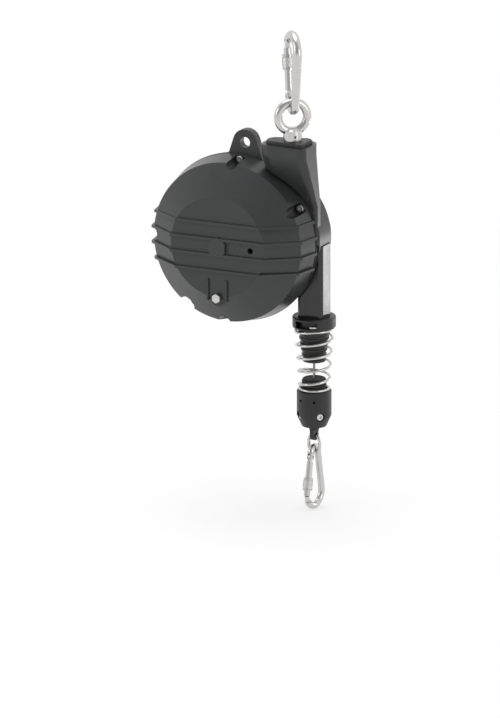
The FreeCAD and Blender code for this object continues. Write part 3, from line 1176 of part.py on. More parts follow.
def clamp_screws():
    """Socket head screws that grip the rope's ferrule from four sides."""
    screws = []
    seat = BLOCK_R - CLAMP_SEAT
    rim = seat + CLAMP_HEAD_LONG
    for angle in CLAMP_ANGLES:
        shank = clamp_recess(angle, CLAMP_SCREW_R, FERRULE_R + SEAT_GAP, seat, CLAMP_SCREW_Z)
        head = clamp_recess(angle, CLAMP_SCREW_HEAD_R, seat, rim, CLAMP_SCREW_Z)
        socket = hexagon_y(CLAMP_SOCKET_R, rim - CLAMP_SOCKET_DEEP, rim + 1, 0.0, 0.0)
        socket.rotate(V(0, 0, 0), Z_AXIS, angle - 90.0)
        socket.translate(V(ROPE_X, ROPE_Y, CLAMP_SCREW_Z))
        screws.append(shank.fuse(head).cut(socket))
    return Part.makeCompound(screws)


def rope_ferrule():
    """Sleeve pressed on the rope's end, under the shoulder in the clamp block."""
    low = CLAMP_SCREW_Z - FERRULE_HALF
    high = CLAMP_SCREW_Z + FERRULE_HALF
    sleeve = cylinder_z(FERRULE_R, low, high, ROPE_X, ROPE_Y)
    return sleeve.cut(cylinder_z(ROPE_R + SEAT_GAP, low - 1, high + 1, ROPE_X, ROPE_Y))


def rope_hanging():
    """The rope from the drum down to its ferrule, straight while it carries load."""
    return cylinder_z(ROPE_R, CLAMP_SCREW_Z - FERRULE_HALF, DRUM_Z, ROPE_X, ROPE_Y)


def swivel_stem():
    """Eye stem that turns in the clamp block; its flat eye carries the link."""
    head_low = BLOCK_BOTTOM_Z + BLOCK_FLOOR + LOOSE_GAP
    stem = cylinder_z(STEM_HEAD_R, head_low, head_low + STEM_HEAD_LONG, ROPE_X, ROPE_Y)
    stem = stem.fuse(cylinder_z(STEM_SPIGOT_R, BLOCK_BOTTOM_Z - 1, head_low + 1, ROPE_X, ROPE_Y))
    stem = stem.fuse(cylinder_z(STEM_R, STEM_EYE_TOP_Z, BLOCK_BOTTOM_Z - LOOSE_GAP, ROPE_X, ROPE_Y))
    half = STEM_EYE_THICK / 2.0
    eye = Part.makeBox(STEM_EYE_THICK, 2 * STEM_R, STEM_EYE_TOP_Z + 1 - STEM_BOTTOM_Z - STEM_R,
                       V(-half, -STEM_R, STEM_BOTTOM_Z + STEM_R))
    eye = eye.fuse(Part.makeCylinder(STEM_R, STEM_EYE_THICK, V(-half, 0, STEM_BOTTOM_Z + STEM_R), X_AXIS))
    hole_z = LINK_TOP_Z - 2 * LINK_WIRE_R - STEM_EYE_PLAY + STEM_EYE_HOLE_R
    eye = eye.cut(Part.makeCylinder(STEM_EYE_HOLE_R, 4 * STEM_R, V(-2 * STEM_R, 0, hole_z), X_AXIS))
    eye.rotate(V(0, 0, 0), Z_AXIS, LOW_HEADING - 90.0)
    eye.translate(V(ROPE_X, ROPE_Y, 0))
    return stem.fuse(eye)


def lower_link():
    """Welded oval link through the stem's eye."""
    half = LINK_OUTER_WIDE / 2.0 - LINK_WIRE_R
    top = LINK_TOP_Z - LINK_WIRE_R
    low = LINK_BOTTOM_Z + LINK_WIRE_R
    edges = [
        arc_xz(half, top - half, 0, 180),
        Part.LineSegment(V(-half, 0, top - half), V(-half, 0, low + half)).toShape(),
        arc_xz(half, low + half, 180, 360),
        Part.LineSegment(V(half, 0, low + half), V(half, 0, top - half)).toShape(),
    ]
    link = swept_rod(edges, LINK_WIRE_R)
    link.rotate(V(0, 0, 0), Z_AXIS, LOW_HEADING - 90.0)
    link.translate(V(ROPE_X, ROPE_Y, 0))
    return link


# ------------------------------------------------------------------ build
def main():
    os.makedirs(PARTS_FOLDER, exist_ok=True)
    save("top_hook_body", place_top(hook_body(TOP_HOOK)))
    save("top_gate_pin", place_top(hook_pin(TOP_HOOK)))
    save("top_gate", place_top(hook_gate(TOP_HOOK)))
    save("top_sleeve", place_top(hook_sleeve(TOP_HOOK)))
    save("eye_nut", eye_nut())
    save("eye_lock_pin", eye_lock_pin())
    save("swivel_bolt", swivel_bolt())
    save("bolt_washer", bolt_washer())
    save("thrust_washer", thrust_washer())
    save("hanger_plate", hanger_plate())
    save("front_cover", front_cover())
    save("cover_screws", cover_screws())
    save("cover_gasket", cover_gasket())
    save("rear_casing", rear_casing())
    y_front = depth(ARBOR_FRONT_DEPTH)
    save("front_bush", bush_y(ARBOR_R, y_front, y_front + FRONT_BUSH_LONG))
    save("rear_bush", bush_y(ARBOR_R, depth(ARBOR_BACK_DEPTH - REAR_BUSH_LONG), depth(ARBOR_BACK_DEPTH)))
    save("adjuster_bush", adjuster_bush())
    save("adjuster_pinion", adjuster_pinion())
    save("arbor", arbor())
    save("arbor_gear", arbor_gear())
    save("gear_key", key_box())
    save("arbor_clip", arbor_clip())
    save("spring_core", spring_core())
    save("rope_drum", rope_drum())
    save("drum_bushes", drum_bushes())
    save("spring_case", spring_case())
    save("spring_lid", spring_lid())
    save("case_screws", case_screws())
    save("mainspring", mainspring())
    save("rope_turns", rope_turns())
    save("rope_chute", rope_chute())
    save("guide_collar", guide_collar())
    save("guide_bush", guide_bush())
    save("guide_clip", guide_clip())
    save("buffer_spring", buffer_spring())
    save("buffer_stub", buffer_stub())
    save("clamp_block", clamp_block())
    save("clamp_screws", clamp_screws())
    save("rope_ferrule", rope_ferrule())
    save("rope_hanging", rope_hanging())
    save("swivel_stem", swivel_stem())
    save("lower_link", lower_link())
    save("lower_hook_body", place_low(hook_body(LOW_HOOK)))
    save("lower_gate_pin", place_low(hook_pin(LOW_HOOK)))
    save("lower_gate", place_low(hook_gate(LOW_HOOK)))
    save("lower_sleeve", place_low(hook_sleeve(LOW_HOOK)))


main()
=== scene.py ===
import json
import math

import bmesh
import bpy
from mathutils import Matrix, Vector

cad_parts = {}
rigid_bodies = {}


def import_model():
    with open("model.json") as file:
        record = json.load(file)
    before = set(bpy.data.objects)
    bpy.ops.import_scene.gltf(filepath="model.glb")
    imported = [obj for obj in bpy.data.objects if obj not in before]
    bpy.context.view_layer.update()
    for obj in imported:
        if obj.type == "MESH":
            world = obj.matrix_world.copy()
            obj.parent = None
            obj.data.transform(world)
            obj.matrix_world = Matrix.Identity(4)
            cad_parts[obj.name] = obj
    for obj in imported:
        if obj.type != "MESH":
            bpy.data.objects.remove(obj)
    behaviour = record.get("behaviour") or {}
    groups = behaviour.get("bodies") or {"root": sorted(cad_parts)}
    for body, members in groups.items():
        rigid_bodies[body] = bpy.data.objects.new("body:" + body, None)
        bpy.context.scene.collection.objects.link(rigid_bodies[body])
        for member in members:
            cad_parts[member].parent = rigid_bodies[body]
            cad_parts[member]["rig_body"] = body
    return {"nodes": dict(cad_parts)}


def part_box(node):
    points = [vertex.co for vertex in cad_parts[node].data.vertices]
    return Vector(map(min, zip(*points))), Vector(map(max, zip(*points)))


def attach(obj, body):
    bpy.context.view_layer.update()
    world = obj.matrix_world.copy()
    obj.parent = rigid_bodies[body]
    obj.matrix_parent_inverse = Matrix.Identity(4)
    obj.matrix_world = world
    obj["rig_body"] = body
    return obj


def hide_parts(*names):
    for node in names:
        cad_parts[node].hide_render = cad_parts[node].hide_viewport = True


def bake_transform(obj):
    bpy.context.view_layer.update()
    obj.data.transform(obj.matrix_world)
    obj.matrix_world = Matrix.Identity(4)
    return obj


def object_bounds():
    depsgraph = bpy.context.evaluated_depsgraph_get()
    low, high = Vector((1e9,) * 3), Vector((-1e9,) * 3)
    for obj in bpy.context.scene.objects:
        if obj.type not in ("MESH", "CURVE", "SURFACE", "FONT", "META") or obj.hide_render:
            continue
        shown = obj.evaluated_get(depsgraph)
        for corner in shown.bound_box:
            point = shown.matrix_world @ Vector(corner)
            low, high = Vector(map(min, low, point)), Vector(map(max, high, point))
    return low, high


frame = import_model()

cad_low, cad_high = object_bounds()
nodes = frame["nodes"]
scene = bpy.context.scene
scene.view_settings.view_transform = "Standard"


# ---- Camera -----------------------------------------------------------------
# A long lens far away, a little above the balancer and to its right, so that
# the round cover, the wall beside it and the column all show.
camera_distance = 9.07
camera_azimuth = math.radians(25.8)
camera_elevation = math.radians(15.5)
camera_roll = math.radians(-0.15)
aim = Vector((-0.0558, 0.0, -0.376))
outward = Vector((math.sin(camera_azimuth) * math.cos(camera_elevation),
                  -math.cos(camera_azimuth) * math.cos(camera_elevation),
                  math.sin(camera_elevation)))
def placed(name, data):
    """A new object in the scene that holds this camera, lamp or mesh."""
    made = bpy.data.objects.new(name, data)
    scene.collection.objects.link(made)
    return made


camera_data = bpy.data.cameras.new("camera")
camera_data.sensor_fit = "VERTICAL"
camera_data.sensor_height = 36.0
camera_data.lens = 387.0
camera_data.clip_end = 60.0
camera = placed("camera", camera_data)
camera.location = aim + outward * camera_distance
looking = (aim - camera.location).to_track_quat("-Z", "Y").to_matrix()
camera.rotation_euler = (looking @ Matrix.Rotation(camera_roll, 3, "Z")).to_euler()
scene.camera = camera


# ---- Floor, sky and lamps ---------------------------------------------------
# A matt pale floor just under the lower hook, a white surround that is dimmer
# on the camera's side, soft lamps, and one behind that only glossy faces show.
class Wire:
    """One socket of a node tree; sums and products of wires add Math nodes."""

    def __init__(self, tree, socket=None):
        self.tree = tree
        self.socket = socket

    def node(self, kind, settings=None, output=0, **inputs):
        made = self.tree.nodes.new(kind)
        for name, value in (settings or {}).items():
            if name == "stops":
                ramp = made.color_ramp
                while len(ramp.elements) < len(value):
                    ramp.elements.new(0.5)
                for element, (place, colour) in zip(ramp.elements, value):
                    element.position = place
                    element.color = colour
            else:
                setattr(made, name, value)
        for name, value in inputs.items():
            if name[0] == "i" and name[1:].isdigit():
                socket = made.inputs[int(name[1:])]
            else:
                socket = made.inputs[name.replace("_", " ")]
            for item in value if isinstance(value, list) else [value]:
                if isinstance(item, Wire):
                    self.tree.links.new(item.socket, socket)
                else:
                    socket.default_value = item
        return Wire(self.tree, made.outputs[output])

    def maths(self, operation, first, second=0.0, third=0.0):
        return self.node("ShaderNodeMath", {"operation": operation}, i0=first, i1=second, i2=third)

    def __add__(self, other):
        return self.maths("ADD", self, other)

    def __sub__(self, other):
        return self.maths("SUBTRACT", self, other)

    def __rsub__(self, other):
        return self.maths("SUBTRACT", other, self)

    def __mul__(self, other):
        return self.maths("MULTIPLY", self, other)

    __radd__ = __add__
    __rmul__ = __mul__

    def within(self, low, high, to_low=0.0, to_high=1.0):
        return self.node("ShaderNodeMapRange", i0=self, i1=low, i2=high, i3=to_low, i4=to_high)

    def mix(self, first, second):
        return self.node("ShaderNodeMix", {"data_type": "RGBA"}, 2, i0=self, i6=first, i7=second)


def shown_rays(wire):
    """1 for the rays that see the background, 0 for those that only carry light."""
    rays = wire.tree.nodes.new("ShaderNodeLightPath")
    seen = Wire(wire.tree, rays.outputs["Is Camera Ray"])
    for name in ("Is Glossy Ray", "Is Transmission Ray"):
        seen = wire.maths("MAXIMUM", seen, Wire(wire.tree, rays.outputs[name]))
    return seen


floor_half = 16.0
shadow_reach = (0.75, 1.5)
floor_mesh = bpy.data.meshes.new("studio_floor")
floor_corners = [(-1, -1), (1, -1), (1, 1), (-1, 1)]
floor_mesh.from_pydata([(floor_half * x, floor_half * y, cad_low.z) for x, y in floor_corners],
                       [], [(0, 1, 2, 3)])
studio_floor = placed("studio_floor", floor_mesh)

floor_finish = bpy.data.materials.new("floor_finish")
floor_finish.use_nodes = True
floor_wire = Wire(floor_finish.node_tree)
floor_wire.tree.nodes.remove(floor_wire.tree.nodes["Principled BSDF"])
floor_matt = floor_wire.node("ShaderNodeBsdfDiffuse", Color=(0.5, 0.5, 0.5, 1.0))
floor_glow = floor_wire.node("ShaderNodeEmission", Color=(1.0, 1.0, 1.0, 1.0), Strength=0.56)
floor_near = floor_wire.node("ShaderNodeAddShader", i0=floor_matt, i1=floor_glow)
floor_white = floor_wire.node("ShaderNodeEmission", Color=(1.0, 1.0, 1.0, 1.0), Strength=1.0)
floor_place = floor_wire.node("ShaderNodeTexCoord", output="Object")
floor_reach = floor_wire.node("ShaderNodeVectorMath", {"operation": "LENGTH"}, output="Value", i0=floor_place)
floor_shown = floor_wire.node("ShaderNodeMixShader", i0=floor_reach.within(*shadow_reach), i1=floor_near,
                              i2=floor_white)
floor_other = floor_wire.node("ShaderNodeBsdfDiffuse", Color=(0.6, 0.6, 0.6, 1.0))
floor_both = floor_wire.node("ShaderNodeMixShader", i0=shown_rays(floor_wire), i1=floor_other,
                             i2=floor_shown)
floor_wire.tree.links.new(floor_both.socket, floor_wire.tree.nodes["Material Output"].inputs["Surface"])
floor_mesh.materials.append(floor_finish)

world = bpy.data.worlds.new("surround")
scene.world = world
world.use_nodes = True
sky_wire = Wire(world.node_tree)
sky_side = sky_wire.node("ShaderNodeTexCoord", output="Generated")
sky_depth = sky_wire.node("ShaderNodeSeparateXYZ", output="Y", i0=sky_side)
sky_white = sky_depth.within(-0.75, 0.15, 0.45, 1.0)
sky_light = 0.6
sky_strength = sky_light + shown_rays(sky_wire) * (sky_white - sky_light)
sky = world.node_tree.nodes["Background"]
world.node_tree.links.new(sky_strength.socket, sky.inputs["Strength"])
sky.inputs["Color"].default_value = (1.0, 1.0, 1.0, 1.0)


def soft_lamp(name, place, target, wide, high, power, only_gloss=False):
    data = bpy.data.lights.new(name, "AREA")
    data.shape = "RECTANGLE"
    data.size = wide
    data.size_y = high
    data.energy = power
    lamp = placed(name, data)
    lamp.location = place
    lamp.rotation_euler = (Vector(target) - Vector(place)).to_track_quat("-Z", "Y").to_euler()
    lamp.visible_camera = False
    lamp.visible_diffuse = not only_gloss


soft_lamp("lamp_overhead", (-0.4, 0.1, 1.9), (-0.05, 0.0, -0.3), 1.6, 1.6, 17.0)
soft_lamp("lamp_front_left", (-1.7, -1.6, 0.6), (-0.08, 0.0, -0.25), 1.1, 1.1, 9.0)
soft_lamp("lamp_right", (2.1, -0.5, 0.2), (0.0, 0.0, -0.3), 1.0, 1.0, 6.0)
soft_lamp("strip_behind", (0.42, 0.80, -0.49), (0.03, 0.03, -0.3), 0.30, 0.13, 0.5, only_gloss=True)


# ---- Rear casing ------------------------------------------------------------
# A pressure die casting in aluminium with the column, the lug and the screw
# bosses in one piece, sprayed with a dark grey semi-gloss paint. The column's
# back stands upright here, with a round rim over the rope's way off the drum.
def noise(wire, at, scale, detail=3.0, roughness=0.5):
    return wire.node("ShaderNodeTexNoise", Vector=at, Scale=scale, Detail=detail, Roughness=roughness)


def new_finish(name):
    """An empty material: its shader, a wire to write formulas on, and the place on the piece."""
    material = bpy.data.materials.new(name)
    material.use_nodes = True
    wire = Wire(material.node_tree)
    return material, wire.tree.nodes["Principled BSDF"], wire, wire.node("ShaderNodeTexCoord", output="Object")


def feed(wire, shader, **sockets):
    for name, value in sockets.items():
        wire.tree.links.new(value.socket, shader.inputs[name.replace("_", " ")])


def grey(value, warm=0.0):
    return (value * (1.0 + warm), value, value * (1.0 - warm), 1.0)


def satin_paint(name, shade, warm, shine):
    """Sprayed paint: faint mottling, orange peel, and gloss that wanders a little."""
    material, shader, wire, place = new_finish(name)
    cloud = noise(wire, place, 14.0, 4.0, 0.6)
    speck = noise(wire, place, 420.0, 2.0)
    tone = cloud * 0.5 + speck * 0.5
    colour = tone.within(0.25, 0.75).mix(grey(shade * 0.90, warm), grey(shade * 1.12, warm))
    feed(wire, shader, Base_Color=colour, Roughness=cloud.within(0.3, 0.7, shine - 0.04, shine + 0.05))
    peel = noise(wire, place, 760.0, 2.0, 0.45)
    feed(wire, shader, Normal=wire.node("ShaderNodeBump", Height=peel, Strength=0.08, Distance=0.0004))
    shader.inputs["IOR"].default_value = 1.48
    return material


def finished(piece, name, material):
    """Gives a piece its finish and lets it stand for the CAD node of that name."""
    piece.data.materials.clear()
    piece.data.materials.append(material)
    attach(piece, nodes[name]["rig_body"])
    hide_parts(name)


def shaded(mesh, limit):
    """Smooth shading, with the edges sharper than the limit kept crisp."""
    mesh.polygons.foreach_set("use_smooth", [True] * len(mesh.polygons))
    mesh.set_sharp_from_angle(angle=math.radians(limit))


def rounded(piece, radius, segments, limit, corners):
    """Rounds the sharp edges by radius and leaves the flat faces evenly lit."""
    edges = piece.modifiers.new("rounded_edges", "BEVEL")
    edges.width = radius
    edges.segments = segments
    edges.limit_method = "ANGLE"
    edges.angle_limit = math.radians(limit)
    edges.miter_outer = corners
    piece.modifiers.new("flat_faces", "WEIGHTED_NORMAL").weight = 60


def softened(name, material, radius, limit=30.0, reshape=None):
    """A merged copy of a CAD piece with its sharp edges rounded by radius."""
    mesh = bpy.data.meshes.new(name + "_finished")
    build = bmesh.new()
    build.from_mesh(nodes[name].data)
    bmesh.ops.remove_doubles(build, verts=build.verts, dist=0.000002)
    if reshape:
        for vertex in build.verts:
            vertex.co.y = reshape(*vertex.co)
    bmesh.ops.dissolve_limit(build, angle_limit=math.radians(0.5), verts=build.verts, edges=build.edges)
    build.to_mesh(mesh)
    build.free()
    shaded(mesh, limit)
    piece = placed(name + "_finished", mesh)
    rounded(piece, radius, 2, limit, "MITER_ARC")
    finished(piece, name, material)


def lofted(name, loops):
    """A closed mesh through loops of points, with a face over the first and the last."""
    build = bmesh.new()
    rows = [[build.verts.new(point) for point in loop] for loop in loops]
    for first, second in zip(rows, rows[1:]):
        for i in range(len(first)):
            j = (i + 1) % len(first)
            build.faces.new((first[i], first[j], second[j], second[i]))
    build.faces.new(rows[0])
    build.faces.new(rows[-1])
    bmesh.ops.recalc_face_normals(build, faces=build.faces)
    mesh = bpy.data.meshes.new(name)
    build.to_mesh(mesh)
    build.free()
    return mesh


drum_axis = Vector((-0.076, 0.0, -0.232))
wall_front, wall_front_r = 0.011, 0.101
wall_back, wall_back_r = 0.046, 0.096
casing_back, casing_back_r = 0.053, 0.0875
column_left, column_right = -0.0366, 0.0254
column_band_low = -0.1225
column_foot = -0.186
column_lean = 0.036
column_front = -0.023
column_deep = 0.046
foot_deep = 0.014


def upright_back(x, y, z):
    """Y of a point of the casing once the column's back stands upright and only its front leans."""
    beside, skin, proud, sunk = 0.0003, 0.0008, 0.0026, 0.0002
    if not (drum_axis.z - 2 * beside < z < column_band_low and column_left < x < column_right):
        return y
    share = min(1.0, (column_band_low - z) / (column_band_low - column_foot))
    front = column_front + column_lean * share
    if not front - beside < y < front + column_deep + beside:
        return y
    r = math.hypot(x - drum_axis.x, z - drum_axis.z)
    depth = min(1.0, max(0.0, (y - wall_front) / (wall_back - wall_front)))
    if r > wall_front_r + (wall_back_r - wall_front_r) * depth - skin:
        return front + (y - front) * (1.0 - share * (1.0 - foot_deep / column_deep))
    slope = (casing_back - wall_back) / (wall_back_r - casing_back_r)
    back = casing_back - slope * max(0.0, r - casing_back_r)
    return back - sunk if y > back + proud else y


def rope_shroud():
    """The round rim beside the column that covers the rope's way off the drum."""
    axis = Vector((-0.049, 0.0, -0.228))
    outer_r, inner_r, lip_r = 0.07605, 0.0723, 0.052
    front, lip_front, back = 0.0172, 0.0443, 0.04805
    first_degrees, turn_degrees, steps = -8.0, 76.0, 60
    section = [(outer_r, front), (outer_r, back), (lip_r, back), (lip_r, lip_front), (inner_r, lip_front),
               (inner_r, front)]
    loops = []
    for i in range(steps + 1):
        angle = math.radians(first_degrees + turn_degrees * i / steps)
        loops.append([(axis.x + r * math.cos(angle), y, axis.z + r * math.sin(angle)) for r, y in section])
    mesh = lofted("rope_shroud", loops)
    shaded(mesh, 30.0)
    mesh.materials.append(casing_paint)
    piece = placed("rope_shroud", mesh)
    rounded(piece, 0.0012, 3, 30.0, "MITER_SHARP")
    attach(piece, "housing")


casing_paint = satin_paint("casing_paint", 0.036, -0.03, 0.34)
softened("rear_casing", casing_paint, 0.0009, reshape=upright_back)
rope_shroud()


# ---- Front cover and its gasket ---------------------------------------------
# The second casting, a shallow bowl with four ribs across it, screwed over a
# thin rubber gasket. The gasket's edge shows as a dark line.
cover_paint = satin_paint("cover_paint", 0.042, -0.03, 0.30)
softened("front_cover", cover_paint, 0.0009)


def dress(material, *names):
    """Puts a finish in every slot of these CAD nodes."""
    for name in names:
        for slot in nodes[name].material_slots:
            slot.link = "OBJECT"
            slot.material = material


def soft_rubber(name, shade):
    """Moulded rubber: nearly black, dull, with a fine open grain."""
    material, shader, wire, place = new_finish(name)
    cloud = noise(wire, place, 90.0)
    colour = cloud.within(0.3, 0.7).mix(grey(shade * 0.8), grey(shade * 1.25))
    feed(wire, shader, Base_Color=colour, Roughness=cloud.within(0.3, 0.7, 0.62, 0.74))
    grain = noise(wire, place, 2200.0, 2.0)
    feed(wire, shader, Normal=wire.node("ShaderNodeBump", Height=grain, Strength=0.15, Distance=0.0002))
    return material


rubber = soft_rubber("rubber", 0.014)
dress(rubber, "cover_gasket")


# ---- Snap hooks, eye nut and link -------------------------------------------
# Forged stainless steel, tumbled to a soft shine: both hooks with their spring
# gates, the lifting eye nut and the welded link.
def bright_metal(name, dark, light, dull, bright, streaks=0.0, mottle=120.0):
    """Bare or plated metal: mottling, and streaks along the piece where it was drawn."""
    material, shader, wire, place = new_finish(name)
    stretch = wire.node("ShaderNodeMapping", {"vector_type": "POINT"}, Vector=place,
                        Scale=(1.0, 1.0, 1.0 - 0.93 * streaks))
    cloud = noise(wire, place, mottle, 4.0, 0.6)
    brush = noise(wire, stretch, 1500.0, 3.0, 0.6)
    tone = cloud * (1.0 - 0.5 * streaks) + brush * (0.5 * streaks)
    feed(wire, shader, Base_Color=tone.within(0.25, 0.75).mix(dark, light),
         Roughness=tone.within(0.25, 0.75, dull, bright))
    shader.inputs["Metallic"].default_value = 1.0
    feed(wire, shader, Normal=wire.node("ShaderNodeBump", Height=brush, Strength=0.06, Distance=0.0002))
    return material


stainless = bright_metal("stainless", grey(0.53, 0.02), grey(0.63, 0.015), 0.30, 0.18, 0.5)
softened("top_hook_body", stainless, 0.0003)
softened("top_gate", stainless, 0.0003)
softened("eye_nut", stainless, 0.0005)
softened("lower_hook_body", stainless, 0.0003)
softened("lower_gate", stainless, 0.0003)
dress(stainless, "lower_link")
blued_steel = bright_metal("blued_steel", (0.05, 0.055, 0.065, 1.0), (0.10, 0.105, 0.115, 1.0), 0.42, 0.30, 0.3)
dress(blued_steel, "top_gate_pin", "lower_gate_pin", "eye_lock_pin", "arbor_clip", "mainspring")


# ---- Knurled lock sleeves ---------------------------------------------------
# A turned stainless sleeve on each gate, diamond knurled between two grooves,
# and parked clear of the nose so that the gate can open.
def new_recipe(name, **sizes):
    """A Geometry Nodes tree with these named inputs, and a wire for each of them."""
    tree = bpy.data.node_groups.new(name, "GeometryNodeTree")
    tree.interface.new_socket("Geometry", in_out="OUTPUT", socket_type="NodeSocketGeometry")
    tree.interface.new_socket("Geometry", in_out="INPUT", socket_type="NodeSocketGeometry")
    tree.interface.new_socket("Finish", in_out="INPUT", socket_type="NodeSocketMaterial")
    for label, value in sizes.items():
        kind = "NodeSocketInt" if isinstance(value, int) else "NodeSocketFloat"
        tree.interface.new_socket(label, in_out="INPUT", socket_type=kind).default_value = value
    given = tree.nodes.new("NodeGroupInput")
    return tree, {socket.name: Wire(tree, socket) for socket in given.outputs if socket.name}


def end_recipe(shape, finish, spacing):
    """Closes a tree: one real mesh, merged at its seams, with its finish on."""
    real = shape.node("GeometryNodeRealizeInstances", Geometry=shape)
    merged = shape.node("GeometryNodeMergeByDistance", Geometry=real, Distance=spacing)
    painted = shape.node("GeometryNodeSetMaterial", Geometry=merged, Material=finish)
    end = shape.tree.nodes.new("NodeGroupOutput")
    shape.tree.links.new(painted.socket, end.inputs[0])


def grown(name, tree, finish, base=None, **sizes):
    """Runs a tree on a base mesh, and keeps what it makes as a plain mesh."""
    piece = placed(name, base or bpy.data.meshes.new(name))
    growth = piece.modifiers.new("growth", "NODES")
    growth.node_group = tree
    values = dict(sizes, Finish=finish)
    for item in tree.interface.items_tree:
        if item.in_out == "INPUT" and item.name in values:
            growth[item.identifier] = values[item.name]
    depsgraph = bpy.context.evaluated_depsgraph_get()
    mesh = bpy.data.meshes.new_from_object(piece.evaluated_get(depsgraph), depsgraph=depsgraph)
    piece.modifiers.remove(growth)
    piece.data = mesh
    mesh.name = name
    build = bmesh.new()
    build.from_mesh(mesh)
    bmesh.ops.recalc_face_normals(build, faces=build.faces)
    build.to_mesh(mesh)
    build.free()
    shaded(mesh, 38.0)
    return piece


def knurled_tube():
    tree, size = new_recipe("knurled_sleeve", Radius=0.007, Bore=0.005, Length=0.018, Knurl_Deep=0.0003,
                            Ridges=28, Groove_Deep=0.0006, Around=140, Along=60)
    geometry = size["Geometry"]
    wall = geometry.node("GeometryNodeMeshCylinder", {"fill_type": "NONE"}, Vertices=size["Around"],
                         Side_Segments=size["Along"], Radius=size["Radius"], Depth=size["Length"])
    at = geometry.node("GeometryNodeInputPosition")
    parts = geometry.tree.nodes.new("ShaderNodeSeparateXYZ")
    geometry.tree.links.new(at.socket, parts.inputs[0])
    x, y, z = (Wire(geometry.tree, output) for output in parts.outputs)
    turn = geometry.maths("ARCTAN2", y, x)
    rise = geometry.maths("DIVIDE", z, size["Radius"])
    left = geometry.maths("ABSOLUTE", geometry.maths("SINE", (turn + rise) * size["Ridges"] * 0.5))
    right = geometry.maths("ABSOLUTE", geometry.maths("SINE", (turn - rise) * size["Ridges"] * 0.5))
    share = geometry.maths("DIVIDE", z, size["Length"]) + 0.5
    middle = geometry.maths("COMPARE", share, 0.495, 0.31)
    low_groove = geometry.maths("COMPARE", share, 0.145, 0.025)
    high_groove = geometry.maths("COMPARE", share, 0.845, 0.025)
    cut = (geometry.maths("MINIMUM", left, right).within(0.0, 0.8, 1.0, 0.0) * size["Knurl_Deep"] * middle
           + (low_groove + high_groove) * size["Groove_Deep"])
    shrink = 1.0 - geometry.maths("DIVIDE", cut, size["Radius"])
    moved = geometry.node("ShaderNodeCombineXYZ", i0=x * shrink, i1=y * shrink, i2=z)
    wall = geometry.node("GeometryNodeSetPosition", Geometry=wall, Position=moved)
    bore = geometry.node("GeometryNodeMeshCylinder", {"fill_type": "NONE"}, Vertices=size["Around"],
                         Radius=size["Bore"], Depth=size["Length"])
    rims = geometry.node("GeometryNodeJoinGeometry", Geometry=[
        geometry.node("GeometryNodeCurvePrimitiveCircle", Resolution=size["Around"], Radius=size[rim])
        for rim in ("Radius", "Bore")])
    face = geometry.node("GeometryNodeFillCurve", Curve=rims)
    ends = []
    for side in (-0.5, 0.5):
        shift = geometry.node("ShaderNodeCombineXYZ", i2=size["Length"] * side)
        ends.append(geometry.node("GeometryNodeTransform", Geometry=face, Translation=shift))
    whole = geometry.node("GeometryNodeJoinGeometry", Geometry=[wall, bore] + ends)
    end_recipe(whole, size["Finish"], 0.00001)
    return tree


top_hook_shape = {"heading": -47.6, "upside_down": False, "bow_r": 0.020, "rod_r": 0.005}
lower_hook_shape = {"heading": 83.0, "upside_down": True, "bow_r": 0.016, "rod_r": 0.004}


def gate_sleeve(name, tree, heading, upside_down, bow_r, rod_r, sleeve_r, bore_r, sleeve_long, narrow_r,
                centres):
    """Places a sleeve on its gate, which leans in from the wide bow to the narrow one."""
    lean = math.asin((bow_r - narrow_r) / centres)
    along = Vector((-math.sin(lean), 0.0, math.cos(lean)))
    middle = Vector((-bow_r * math.cos(lean), 0.0, -bow_r * math.sin(lean)))
    middle -= along * (rod_r * 0.8 + sleeve_long / 2)
    piece = grown(name + "_knurled", tree, stainless, Radius=sleeve_r, Bore=bore_r, Length=sleeve_long)
    tilt = Matrix.Translation(middle) @ along.to_track_quat("Z", "Y").to_matrix().to_4x4()
    flip = Matrix.Rotation(math.pi if upside_down else 0.0, 4, "X")
    place = Matrix.Rotation(math.radians(heading), 4, "Z") @ flip @ tilt
    box_low, box_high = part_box(name)
    piece.data.transform(place)
    corners = [vertex.co for vertex in piece.data.vertices]
    low = Vector(min(corner[i] for corner in corners) for i in range(3))
    high = Vector(max(corner[i] for corner in corners) for i in range(3))
    piece.data.transform(Matrix.Translation((Vector(box_low) + Vector(box_high) - low - high) / 2))
    finished(piece, name, stainless)


sleeve_tree = knurled_tube()
gate_sleeve("top_sleeve", sleeve_tree, sleeve_r=0.0070, bore_r=0.0050, sleeve_long=0.018, narrow_r=0.011,
            centres=0.059, **top_hook_shape)
gate_sleeve("lower_sleeve", sleeve_tree, sleeve_r=0.0058, bore_r=0.0041, sleeve_long=0.015, narrow_r=0.0076,
            centres=0.0484, **lower_hook_shape)


